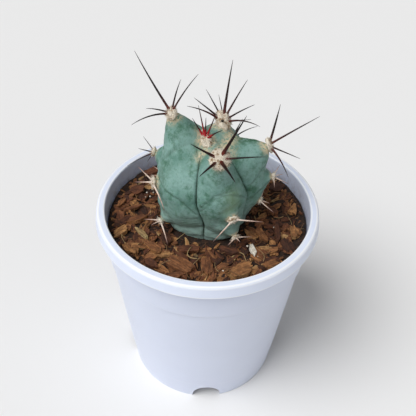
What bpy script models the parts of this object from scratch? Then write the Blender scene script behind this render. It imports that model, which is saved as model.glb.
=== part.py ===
"""A young barrel cactus in a white plastic nursery pot, built at its real size.

The frame's origin is the centre of the pot's resting face, +Z is up, and -Y is the side that the
plant's large front tubercle faces. Dimensions below are in millimetres and MM turns them to metres.
"""

import math
import random

import bmesh
import bpy
from mathutils import Matrix, Vector

MM = 0.001

# ---------------------------------------------------------------- pot
POT_HEIGHT = 99.0
RIM_RADIUS = 50.0
RIM_TOP_RADIUS = 48.8
RIM_SKIRT = 5.7
MOUTH_RADIUS = 45.5
WALL = 1.1
RIM_WALL = 1.3
LEDGE_HEIGHT = 76.0
LEDGE_RADIUS = 45.4
LEDGE_STEP = 0.6
FOOT_RADIUS = 36.2
FLOOR_HEIGHT = 10.3
FLOOR_THICKNESS = 1.5
FLOOR_CHAMFER = 1.2
FLOOR_FILLET = 2.4
FOOT_FLARE = 1.4
RIM_FILLET = 2.0
EDGE = 0.4
POT_SEGMENTS = 48
ARCH_WIDTH = 13.4
ARCH_HEIGHT = 9.2
ARCH_STRAIGHT = 1.6
ARCH_TURN = 4
ARCH_COUNT = 4
CENTRE_DRAIN_RADIUS = 4.5
DRAIN_RADIUS = 3.5
DRAIN_CIRCLE = 21.0
DRAIN_COUNT = 6

# ---------------------------------------------------------------- potting mix and bark
CLEARANCE = 0.35
MIX_TOP = 88.2
MIX_RINGS = (40.0, 35.5, 31.0, 26.5, 22.0, 8.0)
MIX_SEGMENTS = 40
MIX_FOOT_INSET = 1.6
MIX_FOOT_FLARE = 1.0
MIX_LEDGE_BELOW = 1.4
MIX_LEDGE_ABOVE = 0.8
CHIP_SEED = 7
CHIP_TOP = 92.1
CHIP_CORNERS = 8
CHIP_RAGGED = (0.82, 1.0)
CHIP_TAPER = (0.86, 0.8, 1.0)
# The larger chips that lie on the mix: x, y, turn from +X in degrees, length, width and thickness.
CHIPS = {
    "bark_chip_long_left": (-31.5, -4.0, 23, 17.0, 4.6, 2.2),
    "bark_chip_curled_left": (-33.5, 3.2, 24, 11.5, 3.0, 1.8),
    "bark_chip_orange_left": (-37.6, -12.6, 40, 8.6, 5.4, 2.2),
    "bark_chip_pale_strip": (-28.4, -13.0, -44, 13.0, 2.8, 1.6),
    "bark_chip_olive_left": (-32.8, -22.8, -50, 9.4, 4.4, 2.0),
    "bark_chip_diagonal": (-23.4, -20.6, -40, 14.0, 4.2, 2.2),
    "bark_chip_low_left": (-22.8, -30.2, -40, 9.6, 5.0, 2.0),
    "bark_chip_dark_foot": (-17.8, -15.6, -62, 9.6, 4.4, 2.2),
    "bark_chip_big_front": (-10.6, -30.6, -32, 14.4, 8.8, 2.6),
    "bark_chip_crumbly_foot": (-7.8, -21.6, 10, 10.4, 4.6, 2.2),
    "bark_chip_wedge_front": (0.6, -31.2, -82, 12.6, 6.2, 2.4),
    "bark_chip_bottom": (-1.2, -40.6, -4, 8.6, 3.6, 1.8),
    "bark_chip_fibrous_front": (14.6, -32.4, 24, 15.6, 10.6, 2.6),
    "bark_chip_red_foot": (9.2, -21.2, -18, 11.0, 4.4, 2.2),
    "white_chip": (20.0, -21.2, -72, 6.8, 2.4, 1.8),
    "bark_chip_orange_right": (27.4, -28.6, 26, 8.6, 5.6, 2.2),
    "bark_chip_small_orange": (28.2, -20.6, 30, 6.2, 3.8, 2.0),
    "bark_chip_right_foot": (24.4, -11.6, -60, 9.2, 5.2, 2.2),
    "bark_chip_upright": (31.4, -8.6, -88, 14.6, 3.4, 2.2),
    "bark_chip_tan_right": (38.6, -9.6, -80, 10.6, 5.6, 2.2),
    "bark_chip_right_behind": (29.4, 5.0, -46, 8.4, 5.0, 2.2),
    "bark_chip_fibrous_right": (39.4, 5.6, 62, 10.0, 4.6, 2.0),
    "bark_chip_dark_back_right": (32.2, 21.6, 24, 10.0, 7.6, 2.6),
    "bark_chip_back_right": (21.6, 33.4, -34, 11.0, 5.6, 2.2),
    "bark_chip_back": (8.4, 33.6, 12, 11.4, 6.2, 2.2),
    "bark_chip_back_long": (-8.0, 36.6, 10, 13.0, 4.6, 2.2),
    "bark_chip_back_stick": (-27.4, 30.0, 38, 12.6, 4.8, 3.0),
    "bark_chip_behind_left": (-22.6, 20.8, -30, 9.6, 5.6, 2.2),
    "bark_chip_red_left": (-33.6, 15.6, 42, 9.2, 6.2, 2.4),
    "bark_chip_edge_left": (-40.0, 6.0, 66, 8.0, 3.6, 2.0),
}

# ---------------------------------------------------------------- stem
STEM_X, STEM_Y, STEM_CORE = 0.0, 2.0, 112.0
SOIL_LEVEL = 92.0
STEM_SEGMENTS = 56
STEM_RINGS = 32
BUMP_ACROSS = 7.0
BUMP_ABOVE = 6.0
BUMP_BELOW = 9.0
BUMP_SHARPNESS = 0.75
BUMP_MIX = 3.0
LOBE_POWER = 2.3

# Polar angle from the growing point, in degrees, and the distance from the stem's core.
FURROW_PROFILE = ((0, 23.0), (20, 22.0), (45, 20.4), (70, 19.3), (90, 18.8), (110, 19.2), (130, 20.6),
                  (141, 24.6), (150, 28.0), (160, 29.6), (170, 30.6), (180, 31.0))
# The same angle, and how far a rib stands above the furrows beside it.
RIB_PROFILE = ((0, 0.0), (20, 0.8), (45, 2.8), (70, 3.8), (90, 4.2), (110, 3.8), (130, 2.6), (145, 1.2),
               (160, 0.0), (180, 0.0))

# Each rib in order round the stem, and its areoles from the top down: azimuth from -Y towards +X in
# degrees, reach from the stem's axis, height above the soil and breadth of the tubercle, then which way
# the wool faces (azimuth, elevation), and the pad's length up the rib, width across it and thickness.
RIBS = {
    "left": {
        "areole_left_top": (-88, 15.6, 52.8, 1.18, (-80, 62), (4.6, 7.4, 3.0)),
        "areole_left_middle": (-74, 23.8, 22.0, 1.0, (-78, 2), (6.0, 3.4, 2.0)),
        "areole_left_low": (-61, 22.9, 4.3, 1.0, (-58, -22), (3.6, 3.2, 1.8)),
    },
    "front": {
        "areole_front_top": (11, 19.9, 45.7, 1.0, (11, 44), (8.4, 8.4, 3.0)),
        "areole_front_middle": (27, 23.0, 15.4, 1.0, (29, 8), (3.4, 5.0, 2.0)),
        "areole_front_low": (32, 22.6, 4.0, 1.0, (34, -20), (2.8, 4.2, 1.8)),
    },
    "right": {
        "areole_right_top": (92, 24.0, 38.0, 1.1, (92, 20), (7.0, 4.4, 2.4)),
        "areole_right_middle": (88, 27.0, 23.0, 1.0, (86, 0), (4.0, 3.0, 1.8)),
        "areole_right_low": (74, 22.6, 14.0, 1.0, (76, -12), (3.6, 3.0, 1.8)),
    },
    "back": {
        "areole_back_top": (150, 9.5, 43.9, 0.72, (20, 48), (9.6, 6.8, 4.0)),
        "areole_back_middle": (158, 23.6, 24.0, 1.0, (158, 6), (4.6, 3.6, 2.0)),
        "areole_back_low": (166, 22.4, 6.0, 1.0, (166, -18), (3.4, 3.2, 1.8)),
    },
    "back_left": {
        "areole_back_left_middle": (-108, 25.0, 26.8, 1.25, (-110, 12), (4.6, 3.4, 2.0)),
        "areole_back_left_low": (-126, 23.0, 9.0, 1.0, (-126, -14), (3.6, 3.2, 1.8)),
    },
}
APEX_AREOLE = (-28, 4.4, 43.2, 1.0, (20, 62), (8.0, 4.6, 2.4))
# How far round from each rib's crest to the next one's the furrow between them runs.
FURROWS = {"left": (0.70, 0.60), "front": (0.37, 0.55), "right": (0.5, 0.5), "back": (0.5, 0.5),
           "back_left": (0.5, 0.5)}
FURROW_ANGLES = (40.0, 90.0)

# Swells of the skin away from the areoles: azimuth, polar angle from the core, height and half width.
SWELLS = ((-80, 19, 1.8, 5.0),)

# Each areole's spines: azimuth, elevation, length, root diameter, and the bow of its middle towards
# the sky as a share of its length.
SPINES = {
    "areole_apex": ((81, 40, 7.7, 0.9, 0.04), (-155, 56, 12.8, 0.8, 0.0), (180, 76, 8.3, 0.8, 0.0),
                    (144, 54, 10.3, 0.8, 0.0), (-124, 48, 8.9, 0.8, 0.0)),
    "areole_left_top": ((-134, 41, 27.6, 1.1, -0.02), (164, 37, 13.3, 0.9, 0.05),
                        (130, 44, 17.4, 0.8, 0.05), (-108, -3, 9.8, 0.8, 0.05),
                        (-65, -5, 15.7, 0.9, 0.10)),
    "areole_back_top": ((168, 53, 23.7, 1.4, 0.0), (146, 33, 19.1, 1.0, 0.03), (110, 22, 13.2, 0.9, 0.02),
                        (75, 3, 14.2, 1.0, 0.12), (-148, 26, 14.4, 0.8, 0.03), (-170, 16, 12.4, 0.6, 0.0),
                        (-93, 22, 14.6, 1.0, 0.08), (-115, 27, 13.7, 1.0, 0.0), (114, -11, 11.4, 0.5, 0.0),
                        (2, 42, 3.6, 1.7, 0.0)),
    "areole_front_top": ((18, 12, 17.2, 1.6, 0.0), (111, 61, 18.6, 1.6, 0.0), (-83, 35, 11.6, 1.3, 0.0),
                         (-34, 1, 11.2, 1.3, 0.0), (79, 15, 16.1, 1.0, 0.0)),
    "areole_right_top": ((158, 52, 16.3, 1.2, -0.06), (163, 35, 13.9, 0.9, -0.04),
                         (107, 27, 23.2, 1.0, 0.0), (89, -24, 14.3, 0.8, 0.0), (37, -31, 14.4, 1.0, 0.06)),
    "areole_back_left_middle": ((-98, 8, 6.6, 0.7, 0.0), (-139, 23, 8.3, 0.5, 0.0),
                                (-68, -20, 12.4, 0.6, 0.05), (-110, -62, 6.5, 0.5, 0.0)),
    "areole_left_middle": ((-122, 29, 8.8, 0.7, 0.0), (-90, -2, 7.7, 0.8, 0.0),
                           (27, -22, 13.1, 0.9, 0.08)),
    "areole_left_low": ((-90, 2, 6.8, 0.7, 0.0), (-56, -5, 4.6, 0.6, 0.0), (19, -14, 11.3, 0.8, 0.0)),
    "areole_front_middle": ((85, 1, 11.8, 0.8, 0.0), (-41, -17, 12.2, 0.8, 0.0)),
    "areole_front_low": ((-35, -4, 5.0, 0.7, 0.0), (35, -2, 3.1, 0.6, 0.0), (92, 3, 6.5, 0.6, 0.0)),
    "areole_right_middle": ((74, -17, 6.7, 0.6, 0.0), (147, 28, 5.0, 0.5, 0.0), (119, -8, 4.7, 0.5, 0.0),
                            (5, -28, 4.4, 0.5, 0.0)),
    "areole_right_low": ((159, 26, 5.2, 0.5, 0.0), (56, -21, 7.8, 0.7, 0.0), (90, -21, 4.5, 0.6, 0.0)),
    "areole_back_middle": ((110, 22, 13.0, 0.8, 0.08), (158, 8, 15.0, 0.9, 0.0),
                           (-154, 26, 11.0, 0.7, 0.0), (-176, -24, 9.0, 0.7, 0.0)),
    "areole_back_low": ((126, 4, 8.0, 0.6, 0.0), (-160, 4, 8.5, 0.6, 0.0)),
    "areole_back_left_low": ((-92, -2, 8.0, 0.6, 0.0), (-126, 6, 9.5, 0.7, 0.0),
                             (-162, -4, 7.5, 0.6, 0.0)),
}
SPINE_BEVEL_RESOLUTION = 1
SPINE_STATIONS = 5
SPINE_TIP = 0.16
PAD_SEGMENTS = 10
PAD_RINGS = 6

FINISHES = {
    "white_plastic": ((0.80, 0.84, 0.93), 0.38),
    "potting_mix": ((0.11, 0.06, 0.035), 0.95),
    "bark": ((0.33, 0.17, 0.08), 0.9),
    "white_mineral": ((0.80, 0.78, 0.72), 0.7),
    "cactus_skin": ((0.25, 0.45, 0.38), 0.62),
    "spines_and_wool": ((0.42, 0.30, 0.22), 0.7),
}


def clear_scene():
    for obj in list(bpy.data.objects):
        bpy.data.objects.remove(obj)


def finish(name):
    """The plain stand-in material of one kind of piece."""
    material = bpy.data.materials.get(name) or bpy.data.materials.new(name)
    colour, roughness = FINISHES[name]
    material.use_nodes = True
    shader = material.node_tree.nodes["Principled BSDF"]
    shader.inputs["Base Color"].default_value = (*colour, 1.0)
    shader.inputs["Roughness"].default_value = roughness
    shader.inputs["Metallic"].default_value = 0.0
    return material


def object_of(name, bm, material=None, cutter=False):
    """An object from a bmesh that was modelled in millimetres."""
    bmesh.ops.recalc_face_normals(bm, faces=bm.faces)
    bm.transform(Matrix.Scale(MM, 4))
    mesh = bpy.data.meshes.new(name)
    bm.to_mesh(mesh)
    bm.free()
    obj = bpy.data.objects.new(name, mesh)
    bpy.context.scene.collection.objects.link(obj)
    if material:
        mesh.materials.append(finish(material))
        mesh.shade_smooth()
        mesh.set_sharp_from_angle(angle=math.radians(35))
    if cutter:
        obj.hide_render = True
        obj.display_type = "WIRE"
    return obj


def boolean(obj, operation, other):
    modifier = obj.modifiers.new(f"{operation.lower()} {other.name}", "BOOLEAN")
    modifier.operation = operation
    modifier.object = other
    modifier.solver = "EXACT"
    return modifier


def between(table, angle):
    """The value at an angle of a table of (angle, value) rows, eased from row to row."""
    for (a, low), (b, high) in zip(table, table[1:]):
        if angle <= b:
            share = max(0.0, (angle - a) / (b - a))
            return low + (high - low) * share * share * (3 - 2 * share)
    return table[-1][1]


def direction(azimuth, elevation):
    """A unit vector: azimuth 0 is -Y and 90 is +X, and elevation is above the horizon, in degrees."""
    a, e = math.radians(azimuth), math.radians(elevation)
    return Vector((math.sin(a) * math.cos(e), -math.cos(a) * math.cos(e), math.sin(e)))


def turned(name, profile, segments, material):
    """A solid of revolution about Z. The profile is a closed run of (radius, height) points."""
    bm = bmesh.new()
    points = [bm.verts.new((radius, 0.0, height)) for radius, height in profile]
    edges = [bm.edges.new(pair) for pair in zip(points, points[1:])]
    bmesh.ops.spin(bm, geom=points + edges, axis=(0, 0, 1), cent=(0, 0, 0), steps=segments,
                   angle=math.tau, use_merge=True)
    bmesh.ops.remove_doubles(bm, verts=bm.verts, dist=0.01)
    return object_of(name, bm, material)


# ---------------------------------------------------------------- pot
def pot_profile():
    """Half the pot's section, from the middle of the floor's underside out, up, over the rim and back."""
    under_rim = POT_HEIGHT - RIM_SKIRT
    top_plate = POT_HEIGHT - RIM_WALL
    neck = MOUTH_RADIUS + WALL
    foot_inner = FOOT_RADIUS - WALL
    floor_top = FLOOR_HEIGHT + FLOOR_THICKNESS
    waist = LEDGE_RADIUS - LEDGE_STEP
    return [
        (0.0, FLOOR_HEIGHT),
        (foot_inner - FLOOR_CHAMFER, FLOOR_HEIGHT),
        (foot_inner - EDGE, FLOOR_HEIGHT - FLOOR_CHAMFER),
        (foot_inner - EDGE, 0.0),
        (FOOT_RADIUS, 0.0),
        (waist, LEDGE_HEIGHT - LEDGE_STEP),
        (LEDGE_RADIUS, LEDGE_HEIGHT),
        (neck, under_rim + RIM_FILLET),
        (neck + EDGE, top_plate),
        (RIM_TOP_RADIUS - RIM_WALL, top_plate - EDGE),
        (RIM_RADIUS - RIM_WALL, under_rim + EDGE),
        (RIM_RADIUS - EDGE, under_rim),
        (RIM_RADIUS, under_rim + EDGE),
        (RIM_TOP_RADIUS + EDGE, POT_HEIGHT - RIM_WALL),
        (RIM_TOP_RADIUS - EDGE, POT_HEIGHT - EDGE),
        (RIM_TOP_RADIUS - RIM_WALL, POT_HEIGHT),
        (MOUTH_RADIUS + EDGE, POT_HEIGHT),
        (MOUTH_RADIUS, POT_HEIGHT - EDGE),
        (LEDGE_RADIUS - WALL, LEDGE_HEIGHT + EDGE),
        (waist - WALL, LEDGE_HEIGHT - LEDGE_STEP - EDGE),
        (foot_inner + FLOOR_FILLET * 0.5, floor_top + FLOOR_FILLET),
        (foot_inner - FLOOR_CHAMFER, floor_top),
        (0.0, floor_top),
    ]


def arch_cutter(azimuth):
    """A round-topped slot that cuts one drain arch out of the foot ring."""
    bm = bmesh.new()
    half = ARCH_WIDTH / 2
    steps = 10
    outline = [(-half, -1.0), (half, -1.0)]
    for step in range(steps + 1):
        turn = math.pi * step / steps
        outline.append((half * math.cos(turn), ARCH_STRAIGHT + (ARCH_HEIGHT - ARCH_STRAIGHT) * math.sin(turn)))
    face = bm.faces.new([bm.verts.new((x, -FOOT_RADIUS - 4.0, z)) for x, z in outline])
    grown = bmesh.ops.extrude_face_region(bm, geom=[face])["geom"]
    bmesh.ops.translate(bm, vec=(0, 10.0, 0), verts=[v for v in grown if isinstance(v, bmesh.types.BMVert)])
    bmesh.ops.rotate(bm, cent=(0, 0, 0), matrix=Matrix.Rotation(math.radians(azimuth), 3, "Z"), verts=bm.verts)
    return object_of(f"arch_cutter_{azimuth}", bm, cutter=True)


def drain_cutter(index, radius, x, y):
    bm = bmesh.new()
    bmesh.ops.create_cone(bm, cap_ends=True, segments=14, radius1=radius, radius2=radius,
                          depth=FLOOR_THICKNESS * 4,
                          matrix=Matrix.Translation((x, y, FLOOR_HEIGHT + FLOOR_THICKNESS / 2)))
    return object_of(f"drain_cutter_{index}", bm, cutter=True)


def make_pot():
    pot = turned("pot", pot_profile(), POT_SEGMENTS, "white_plastic")
    for index in range(ARCH_COUNT):
        boolean(pot, "DIFFERENCE", arch_cutter(ARCH_TURN + index * 360 // ARCH_COUNT))
    boolean(pot, "DIFFERENCE", drain_cutter(0, CENTRE_DRAIN_RADIUS, 0.0, 0.0))
    for index in range(DRAIN_COUNT):
        spot = direction((index + 0.5) * 360 / DRAIN_COUNT, 0) * DRAIN_CIRCLE
        boolean(pot, "DIFFERENCE", drain_cutter(index + 1, DRAIN_RADIUS, spot.x, spot.y))
    return pot


# ---------------------------------------------------------------- stem
def polar_of(spot):
    """(azimuth, polar angle, distance) of an areole row, seen from the stem's core."""
    azimuth, reach, height = spot[:3]
    rise = SOIL_LEVEL + height - STEM_CORE
    return azimuth, math.degrees(math.atan2(reach, rise)), math.hypot(reach, rise)


def place_of(spot):
    azimuth, reach, height = spot[:3]
    return Vector((STEM_X, STEM_Y, SOIL_LEVEL + height)) + direction(azimuth, 0) * reach


def turn_between(a, b):
    """The signed turn from azimuth a to azimuth b, from -180 to 180 degrees."""
    return (b - a + 180.0) % 360.0 - 180.0


def rib_azimuth(rib, polar):
    """Where a rib's crest runs at a polar angle: straight from areole to areole."""
    spots = [polar_of(spot) for spot in rib.values()]
    if polar <= spots[0][1]:
        return spots[0][0]
    for (a, low, _), (b, high, _) in zip(spots, spots[1:]):
        if polar <= high:
            return a + turn_between(a, b) * (polar - low) / (high - low)
    return spots[-1][0]


def lobe_at(azimuth, polar):
    """1 on the crest of a rib, falling to 0 in the furrows on its two sides."""
    crests = [rib_azimuth(rib, polar) for rib in RIBS.values()]
    high, low = FURROW_ANGLES
    down = min(1.0, max(0.0, (polar - high) / (low - high)))
    for crest, following, (upper, lower) in zip(crests, crests[1:] + crests[:1], FURROWS.values()):
        share = upper + (lower - upper) * down
        gap = (following - crest) % 360.0
        past = (azimuth - crest) % 360.0
        if past <= gap:
            across = past / (gap * share) if past < gap * share else (gap - past) / (gap * (1.0 - share))
            return 1.0 - across ** LOBE_POWER
    return 1.0


def ribbed_radius(azimuth, polar):
    """The stem's radius from its core with its ribs and furrows, before the tubercles are added."""
    return between(FURROW_PROFILE, polar) + between(RIB_PROFILE, polar) * lobe_at(azimuth, polar)


def tubercles():
    """Each areole's (azimuth, polar angle, distance, height of its tubercle above the rib, breadth)."""
    found = []
    for rib in RIBS.values():
        for spot in rib.values():
            azimuth, polar, distance = polar_of(spot)
            found.append((azimuth, polar, distance, distance - ribbed_radius(azimuth, polar), spot[3]))
    return found


def swell_at(azimuth, polar):
    """How far the skin swells at a place, away from the areoles."""
    here = direction(azimuth, 90.0 - polar)
    total = 0.0
    for swell_azimuth, swell_polar, height, half in SWELLS:
        away = here.angle(direction(swell_azimuth, 90.0 - swell_polar)) * between(FURROW_PROFILE, polar)
        total += height * math.exp(-(away / half) ** 2)
    return total


def stem_radius(azimuth, polar, peaks):
    """The stem's radius from its core, with its ribs, swells and tubercles."""
    total = 0.0
    for peak_azimuth, peak_polar, distance, height, breadth in peaks:
        middle = math.radians((polar + peak_polar) / 2)
        across = distance * math.sin(middle) * math.radians(turn_between(peak_azimuth, azimuth))
        along = distance * math.radians(polar - peak_polar)
        reach = BUMP_BELOW if along > 0 else BUMP_ABOVE
        far = ((across / BUMP_ACROSS) ** 2 + (along / reach) ** 2) / breadth ** 2
        total += (max(height, 0.0) * math.exp(-far ** BUMP_SHARPNESS)) ** BUMP_MIX
    return ribbed_radius(azimuth, polar) + swell_at(azimuth, polar) + total ** (1.0 / BUMP_MIX)


def stem_shell(name, grown, material=None, cutter=False):
    """The stem's closed skin, swollen by grown millimetres away from its core."""
    bm = bmesh.new()
    core = Vector((STEM_X, STEM_Y, STEM_CORE))
    peaks = tubercles()
    rings = []
    for ring in range(1, STEM_RINGS):
        polar = 180.0 * ring / STEM_RINGS
        row = []
        for segment in range(STEM_SEGMENTS):
            azimuth = 360.0 * segment / STEM_SEGMENTS
            radius = stem_radius(azimuth, polar, peaks) + grown
            row.append(bm.verts.new(core + direction(azimuth, 90.0 - polar) * radius))
        rings.append(row)
    for upper, lower in zip(rings, rings[1:]):
        for k in range(STEM_SEGMENTS):
            n = (k + 1) % STEM_SEGMENTS
            bm.faces.new((upper[k], lower[k], lower[n], upper[n]))
    for row, polar in ((rings[0], 0.0), (rings[-1], 180.0)):
        pole = bm.verts.new(core + direction(0, 90.0 - polar) * (between(FURROW_PROFILE, polar) + grown))
        for k in range(STEM_SEGMENTS):
            bm.faces.new((pole, row[k], row[(k + 1) % STEM_SEGMENTS]))
    return object_of(name, bm, material, cutter)


# ---------------------------------------------------------------- areoles and spines
def pad_frame(facing):
    """A rotation that takes +Z to the way the wool faces and +Y up the rib."""
    normal = direction(*facing)
    up = (Vector((0, 0, 1)) - normal * normal.z).normalized()
    return Matrix((up.cross(normal), up, normal)).transposed().to_4x4()


def spine_points(root, spine):
    """Stations along one spine, each with its radius: it tapers, and its middle bows up or down."""
    azimuth, elevation, length, diameter, bow = spine
    way = direction(azimuth, elevation)
    rise = (Vector((0, 0, 1)) - way * way.z).normalized()
    stations = []
    for step in range(SPINE_STATIONS):
        share = step / (SPINE_STATIONS - 1)
        point = root + way * length * share + rise * bow * length * 4 * share * (1 - share)
        radius = SPINE_TIP + (diameter / 2 - SPINE_TIP) * (1 - share) ** 0.8
        stations.append((point, radius))
    return stations


def spine_solid(name, root, spine):
    """One tapered spine as a bevelled curve, turned to a mesh that the areole's union can take."""
    curve = bpy.data.curves.new(name, "CURVE")
    curve.dimensions = "3D"
    curve.bevel_depth = MM
    curve.bevel_resolution = SPINE_BEVEL_RESOLUTION
    curve.use_fill_caps = True
    stations = spine_points(root, spine)
    spline = curve.splines.new("POLY")
    spline.points.add(len(stations) - 1)
    for point, (place, radius) in zip(spline.points, stations):
        point.co = (*(place * MM), 1.0)
        point.radius = radius
    guide = bpy.data.objects.new(name, curve)
    mesh = bpy.data.meshes.new_from_object(guide)
    bpy.data.objects.remove(guide)
    bm = bmesh.new()
    bm.from_mesh(mesh)
    bmesh.ops.remove_doubles(bm, verts=bm.verts, dist=1e-6)
    bmesh.ops.recalc_face_normals(bm, faces=bm.faces)
    bm.to_mesh(mesh)
    bm.free()
    obj = bpy.data.objects.new(name, mesh)
    bpy.context.scene.collection.objects.link(obj)
    obj.hide_render = True
    obj.display_type = "WIRE"
    return obj


def make_areole(name, spot, clearance):
    """A wool pad on its tubercle with its spines rooted in it, clear of the skin below."""
    facing, (length, width, thickness) = spot[4], spot[5]
    normal = direction(*facing)
    middle = place_of(spot) + normal * 0.5
    bm = bmesh.new()
    bmesh.ops.create_uvsphere(bm, u_segments=PAD_SEGMENTS, v_segments=PAD_RINGS, radius=1.0)
    bmesh.ops.scale(bm, vec=(width / 2, length / 2, thickness / 2), verts=bm.verts)
    bm.transform(Matrix.Translation(middle) @ pad_frame(facing))
    pad = object_of(name, bm, "spines_and_wool")
    for index, spine in enumerate(SPINES[name]):
        way = direction(*spine[:2])
        sideways = way - normal * way.dot(normal)
        root = middle + sideways * min(width, length) * 0.25 + normal * thickness * 0.16
        boolean(pad, "UNION", spine_solid(f"{name}_spine_{index}", root, spine))
    boolean(pad, "DIFFERENCE", clearance)
    return pad


# ---------------------------------------------------------------- potting mix and bark
def wall_radius(height):
    """The pot's inner radius at a height above the floor."""
    low, high = FLOOR_HEIGHT + FLOOR_THICKNESS + FLOOR_FILLET, LEDGE_HEIGHT - LEDGE_STEP - EDGE
    low_radius = FOOT_RADIUS - WALL + FOOT_FLARE
    high_radius = LEDGE_RADIUS - LEDGE_STEP - WALL
    if height <= high:
        return low_radius + (high_radius - low_radius) * max(0.0, height - low) / (high - low)
    share = (height - LEDGE_HEIGHT - EDGE) / (POT_HEIGHT - LEDGE_HEIGHT - 2 * EDGE)
    return LEDGE_RADIUS - WALL + (MOUTH_RADIUS - LEDGE_RADIUS + WALL) * max(0.0, share)


def mix_height(x, y):
    """The crumbly top of the potting mix, a few tenths of a millimetre up and down."""
    return MIX_TOP + 0.35 * math.sin(x * 0.21 + 1.0) + 0.3 * math.cos(y * 0.27) + 0.2 * math.sin((x + y) * 0.4)


def make_potting_mix(clearance):
    """The root ball of mix, shaped by the pot, with a socket for the buried foot of the stem."""
    bm = bmesh.new()
    floor = FLOOR_HEIGHT + FLOOR_THICKNESS + CLEARANCE
    foot = FOOT_RADIUS - WALL - CLEARANCE
    below, above = LEDGE_HEIGHT - MIX_LEDGE_BELOW, LEDGE_HEIGHT + MIX_LEDGE_ABOVE
    sides = [(foot - MIX_FOOT_INSET, floor),
             (foot + MIX_FOOT_FLARE, floor + FLOOR_FILLET),
             (wall_radius(below) - CLEARANCE, below),
             (wall_radius(above) - CLEARANCE, above)]
    edge = wall_radius(MIX_TOP) - CLEARANCE
    rows = []
    for radius, height in sides:
        rows.append([(radius, height)] * MIX_SEGMENTS)
    for radius in (edge, *MIX_RINGS):
        row = []
        for k in range(MIX_SEGMENTS):
            spot = direction(360.0 * k / MIX_SEGMENTS, 0) * radius
            row.append((radius, mix_height(spot.x, spot.y)))
        rows.append(row)
    rings = []
    for row in rows:
        rings.append([bm.verts.new(direction(360.0 * k / MIX_SEGMENTS, 0) * radius + Vector((0, 0, height)))
                      for k, (radius, height) in enumerate(row)])
    for lower, upper in zip(rings, rings[1:]):
        for k in range(MIX_SEGMENTS):
            n = (k + 1) % MIX_SEGMENTS
            bm.faces.new((lower[k], lower[n], upper[n], upper[k]))
    for row, height in ((rings[0], floor), (rings[-1], mix_height(0, 0))):
        pole = bm.verts.new((0, 0, height))
        for k in range(MIX_SEGMENTS):
            bm.faces.new((pole, row[k], row[(k + 1) % MIX_SEGMENTS]))
    mix = object_of("potting_mix", bm, "potting_mix")
    boolean(mix, "DIFFERENCE", clearance)
    return mix


def make_chip(name, spot, draw):
    """One flat, ragged chip lying on the mix."""
    x, y, turn, length, width, thickness = spot
    bm = bmesh.new()
    outline = []
    for corner in range(CHIP_CORNERS):
        around = math.tau * corner / CHIP_CORNERS
        ragged = draw.uniform(*CHIP_RAGGED)
        outline.append((length / 2 * math.cos(around) * ragged, width / 2 * math.sin(around) * ragged))
    face = bm.faces.new([bm.verts.new((x, y, -thickness / 2)) for x, y in outline])
    grown = bmesh.ops.extrude_face_region(bm, geom=[face])["geom"]
    upper = [v for v in grown if isinstance(v, bmesh.types.BMVert)]
    bmesh.ops.translate(bm, vec=(0, 0, thickness), verts=upper)
    bmesh.ops.scale(bm, vec=CHIP_TAPER, verts=upper)
    place = Vector((x, y, CHIP_TOP - thickness / 2))
    bm.transform(Matrix.Translation(place) @ Matrix.Rotation(math.radians(turn), 4, "Z"))
    return object_of(name, bm, "white_mineral" if name == "white_chip" else "bark")


def make_chips():
    draw = random.Random(CHIP_SEED)
    for name, spot in CHIPS.items():
        make_chip(name, spot, draw)


def main():
    clear_scene()
    make_pot()
    stem_clearance = stem_shell("stem_clearance", CLEARANCE, cutter=True)
    make_potting_mix(stem_clearance)
    stem_shell("stem", 0.0, "cactus_skin")
    make_areole("areole_apex", APEX_AREOLE, stem_clearance)
    for rib in RIBS.values():
        for name, spot in rib.items():
            make_areole(name, spot, stem_clearance)
    make_chips()


if __name__ == "__main__":
    main()
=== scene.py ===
"""A young barrel cactus in a white nursery pot: its skin, wool, spines, bark mix, pot and studio.

It is laid out as a Blender add-on. Run as a script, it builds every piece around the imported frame.
Places inside the functions are in millimetres, and mesh_piece turns them to metres.
"""

import math
import random

import bmesh
import bpy
import numpy as np
from bpy.props import FloatProperty, FloatVectorProperty, IntProperty, PointerProperty
from mathutils import Matrix, Vector, noise


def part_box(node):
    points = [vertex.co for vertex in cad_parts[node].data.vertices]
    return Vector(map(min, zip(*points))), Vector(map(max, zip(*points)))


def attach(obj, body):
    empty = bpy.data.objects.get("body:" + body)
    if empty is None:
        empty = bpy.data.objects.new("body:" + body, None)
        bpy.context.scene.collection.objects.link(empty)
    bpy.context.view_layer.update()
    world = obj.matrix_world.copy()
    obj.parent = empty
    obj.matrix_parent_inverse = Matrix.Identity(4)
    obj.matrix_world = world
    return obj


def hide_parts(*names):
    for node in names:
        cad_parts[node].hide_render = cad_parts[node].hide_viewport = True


bl_info = {
    "name": "Potted barrel cactus",
    "version": (1, 0, 0),
    "blender": (4, 5, 0),
    "location": "3D View > Sidebar > Cactus",
    "description": "Builds a ribbed barrel cactus in bark mix in a white nursery pot",
    "category": "Object",
}

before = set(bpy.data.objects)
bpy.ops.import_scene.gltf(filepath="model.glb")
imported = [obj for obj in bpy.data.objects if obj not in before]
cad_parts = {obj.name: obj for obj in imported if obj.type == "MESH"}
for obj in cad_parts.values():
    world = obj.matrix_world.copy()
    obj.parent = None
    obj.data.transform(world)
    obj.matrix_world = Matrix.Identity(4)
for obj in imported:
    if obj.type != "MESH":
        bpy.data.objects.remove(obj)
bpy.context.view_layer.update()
MM = 0.001

POT_LOW, POT_HIGH = (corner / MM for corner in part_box("pot"))
MIX_LOW, MIX_HIGH = (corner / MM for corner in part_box("potting_mix"))

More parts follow.
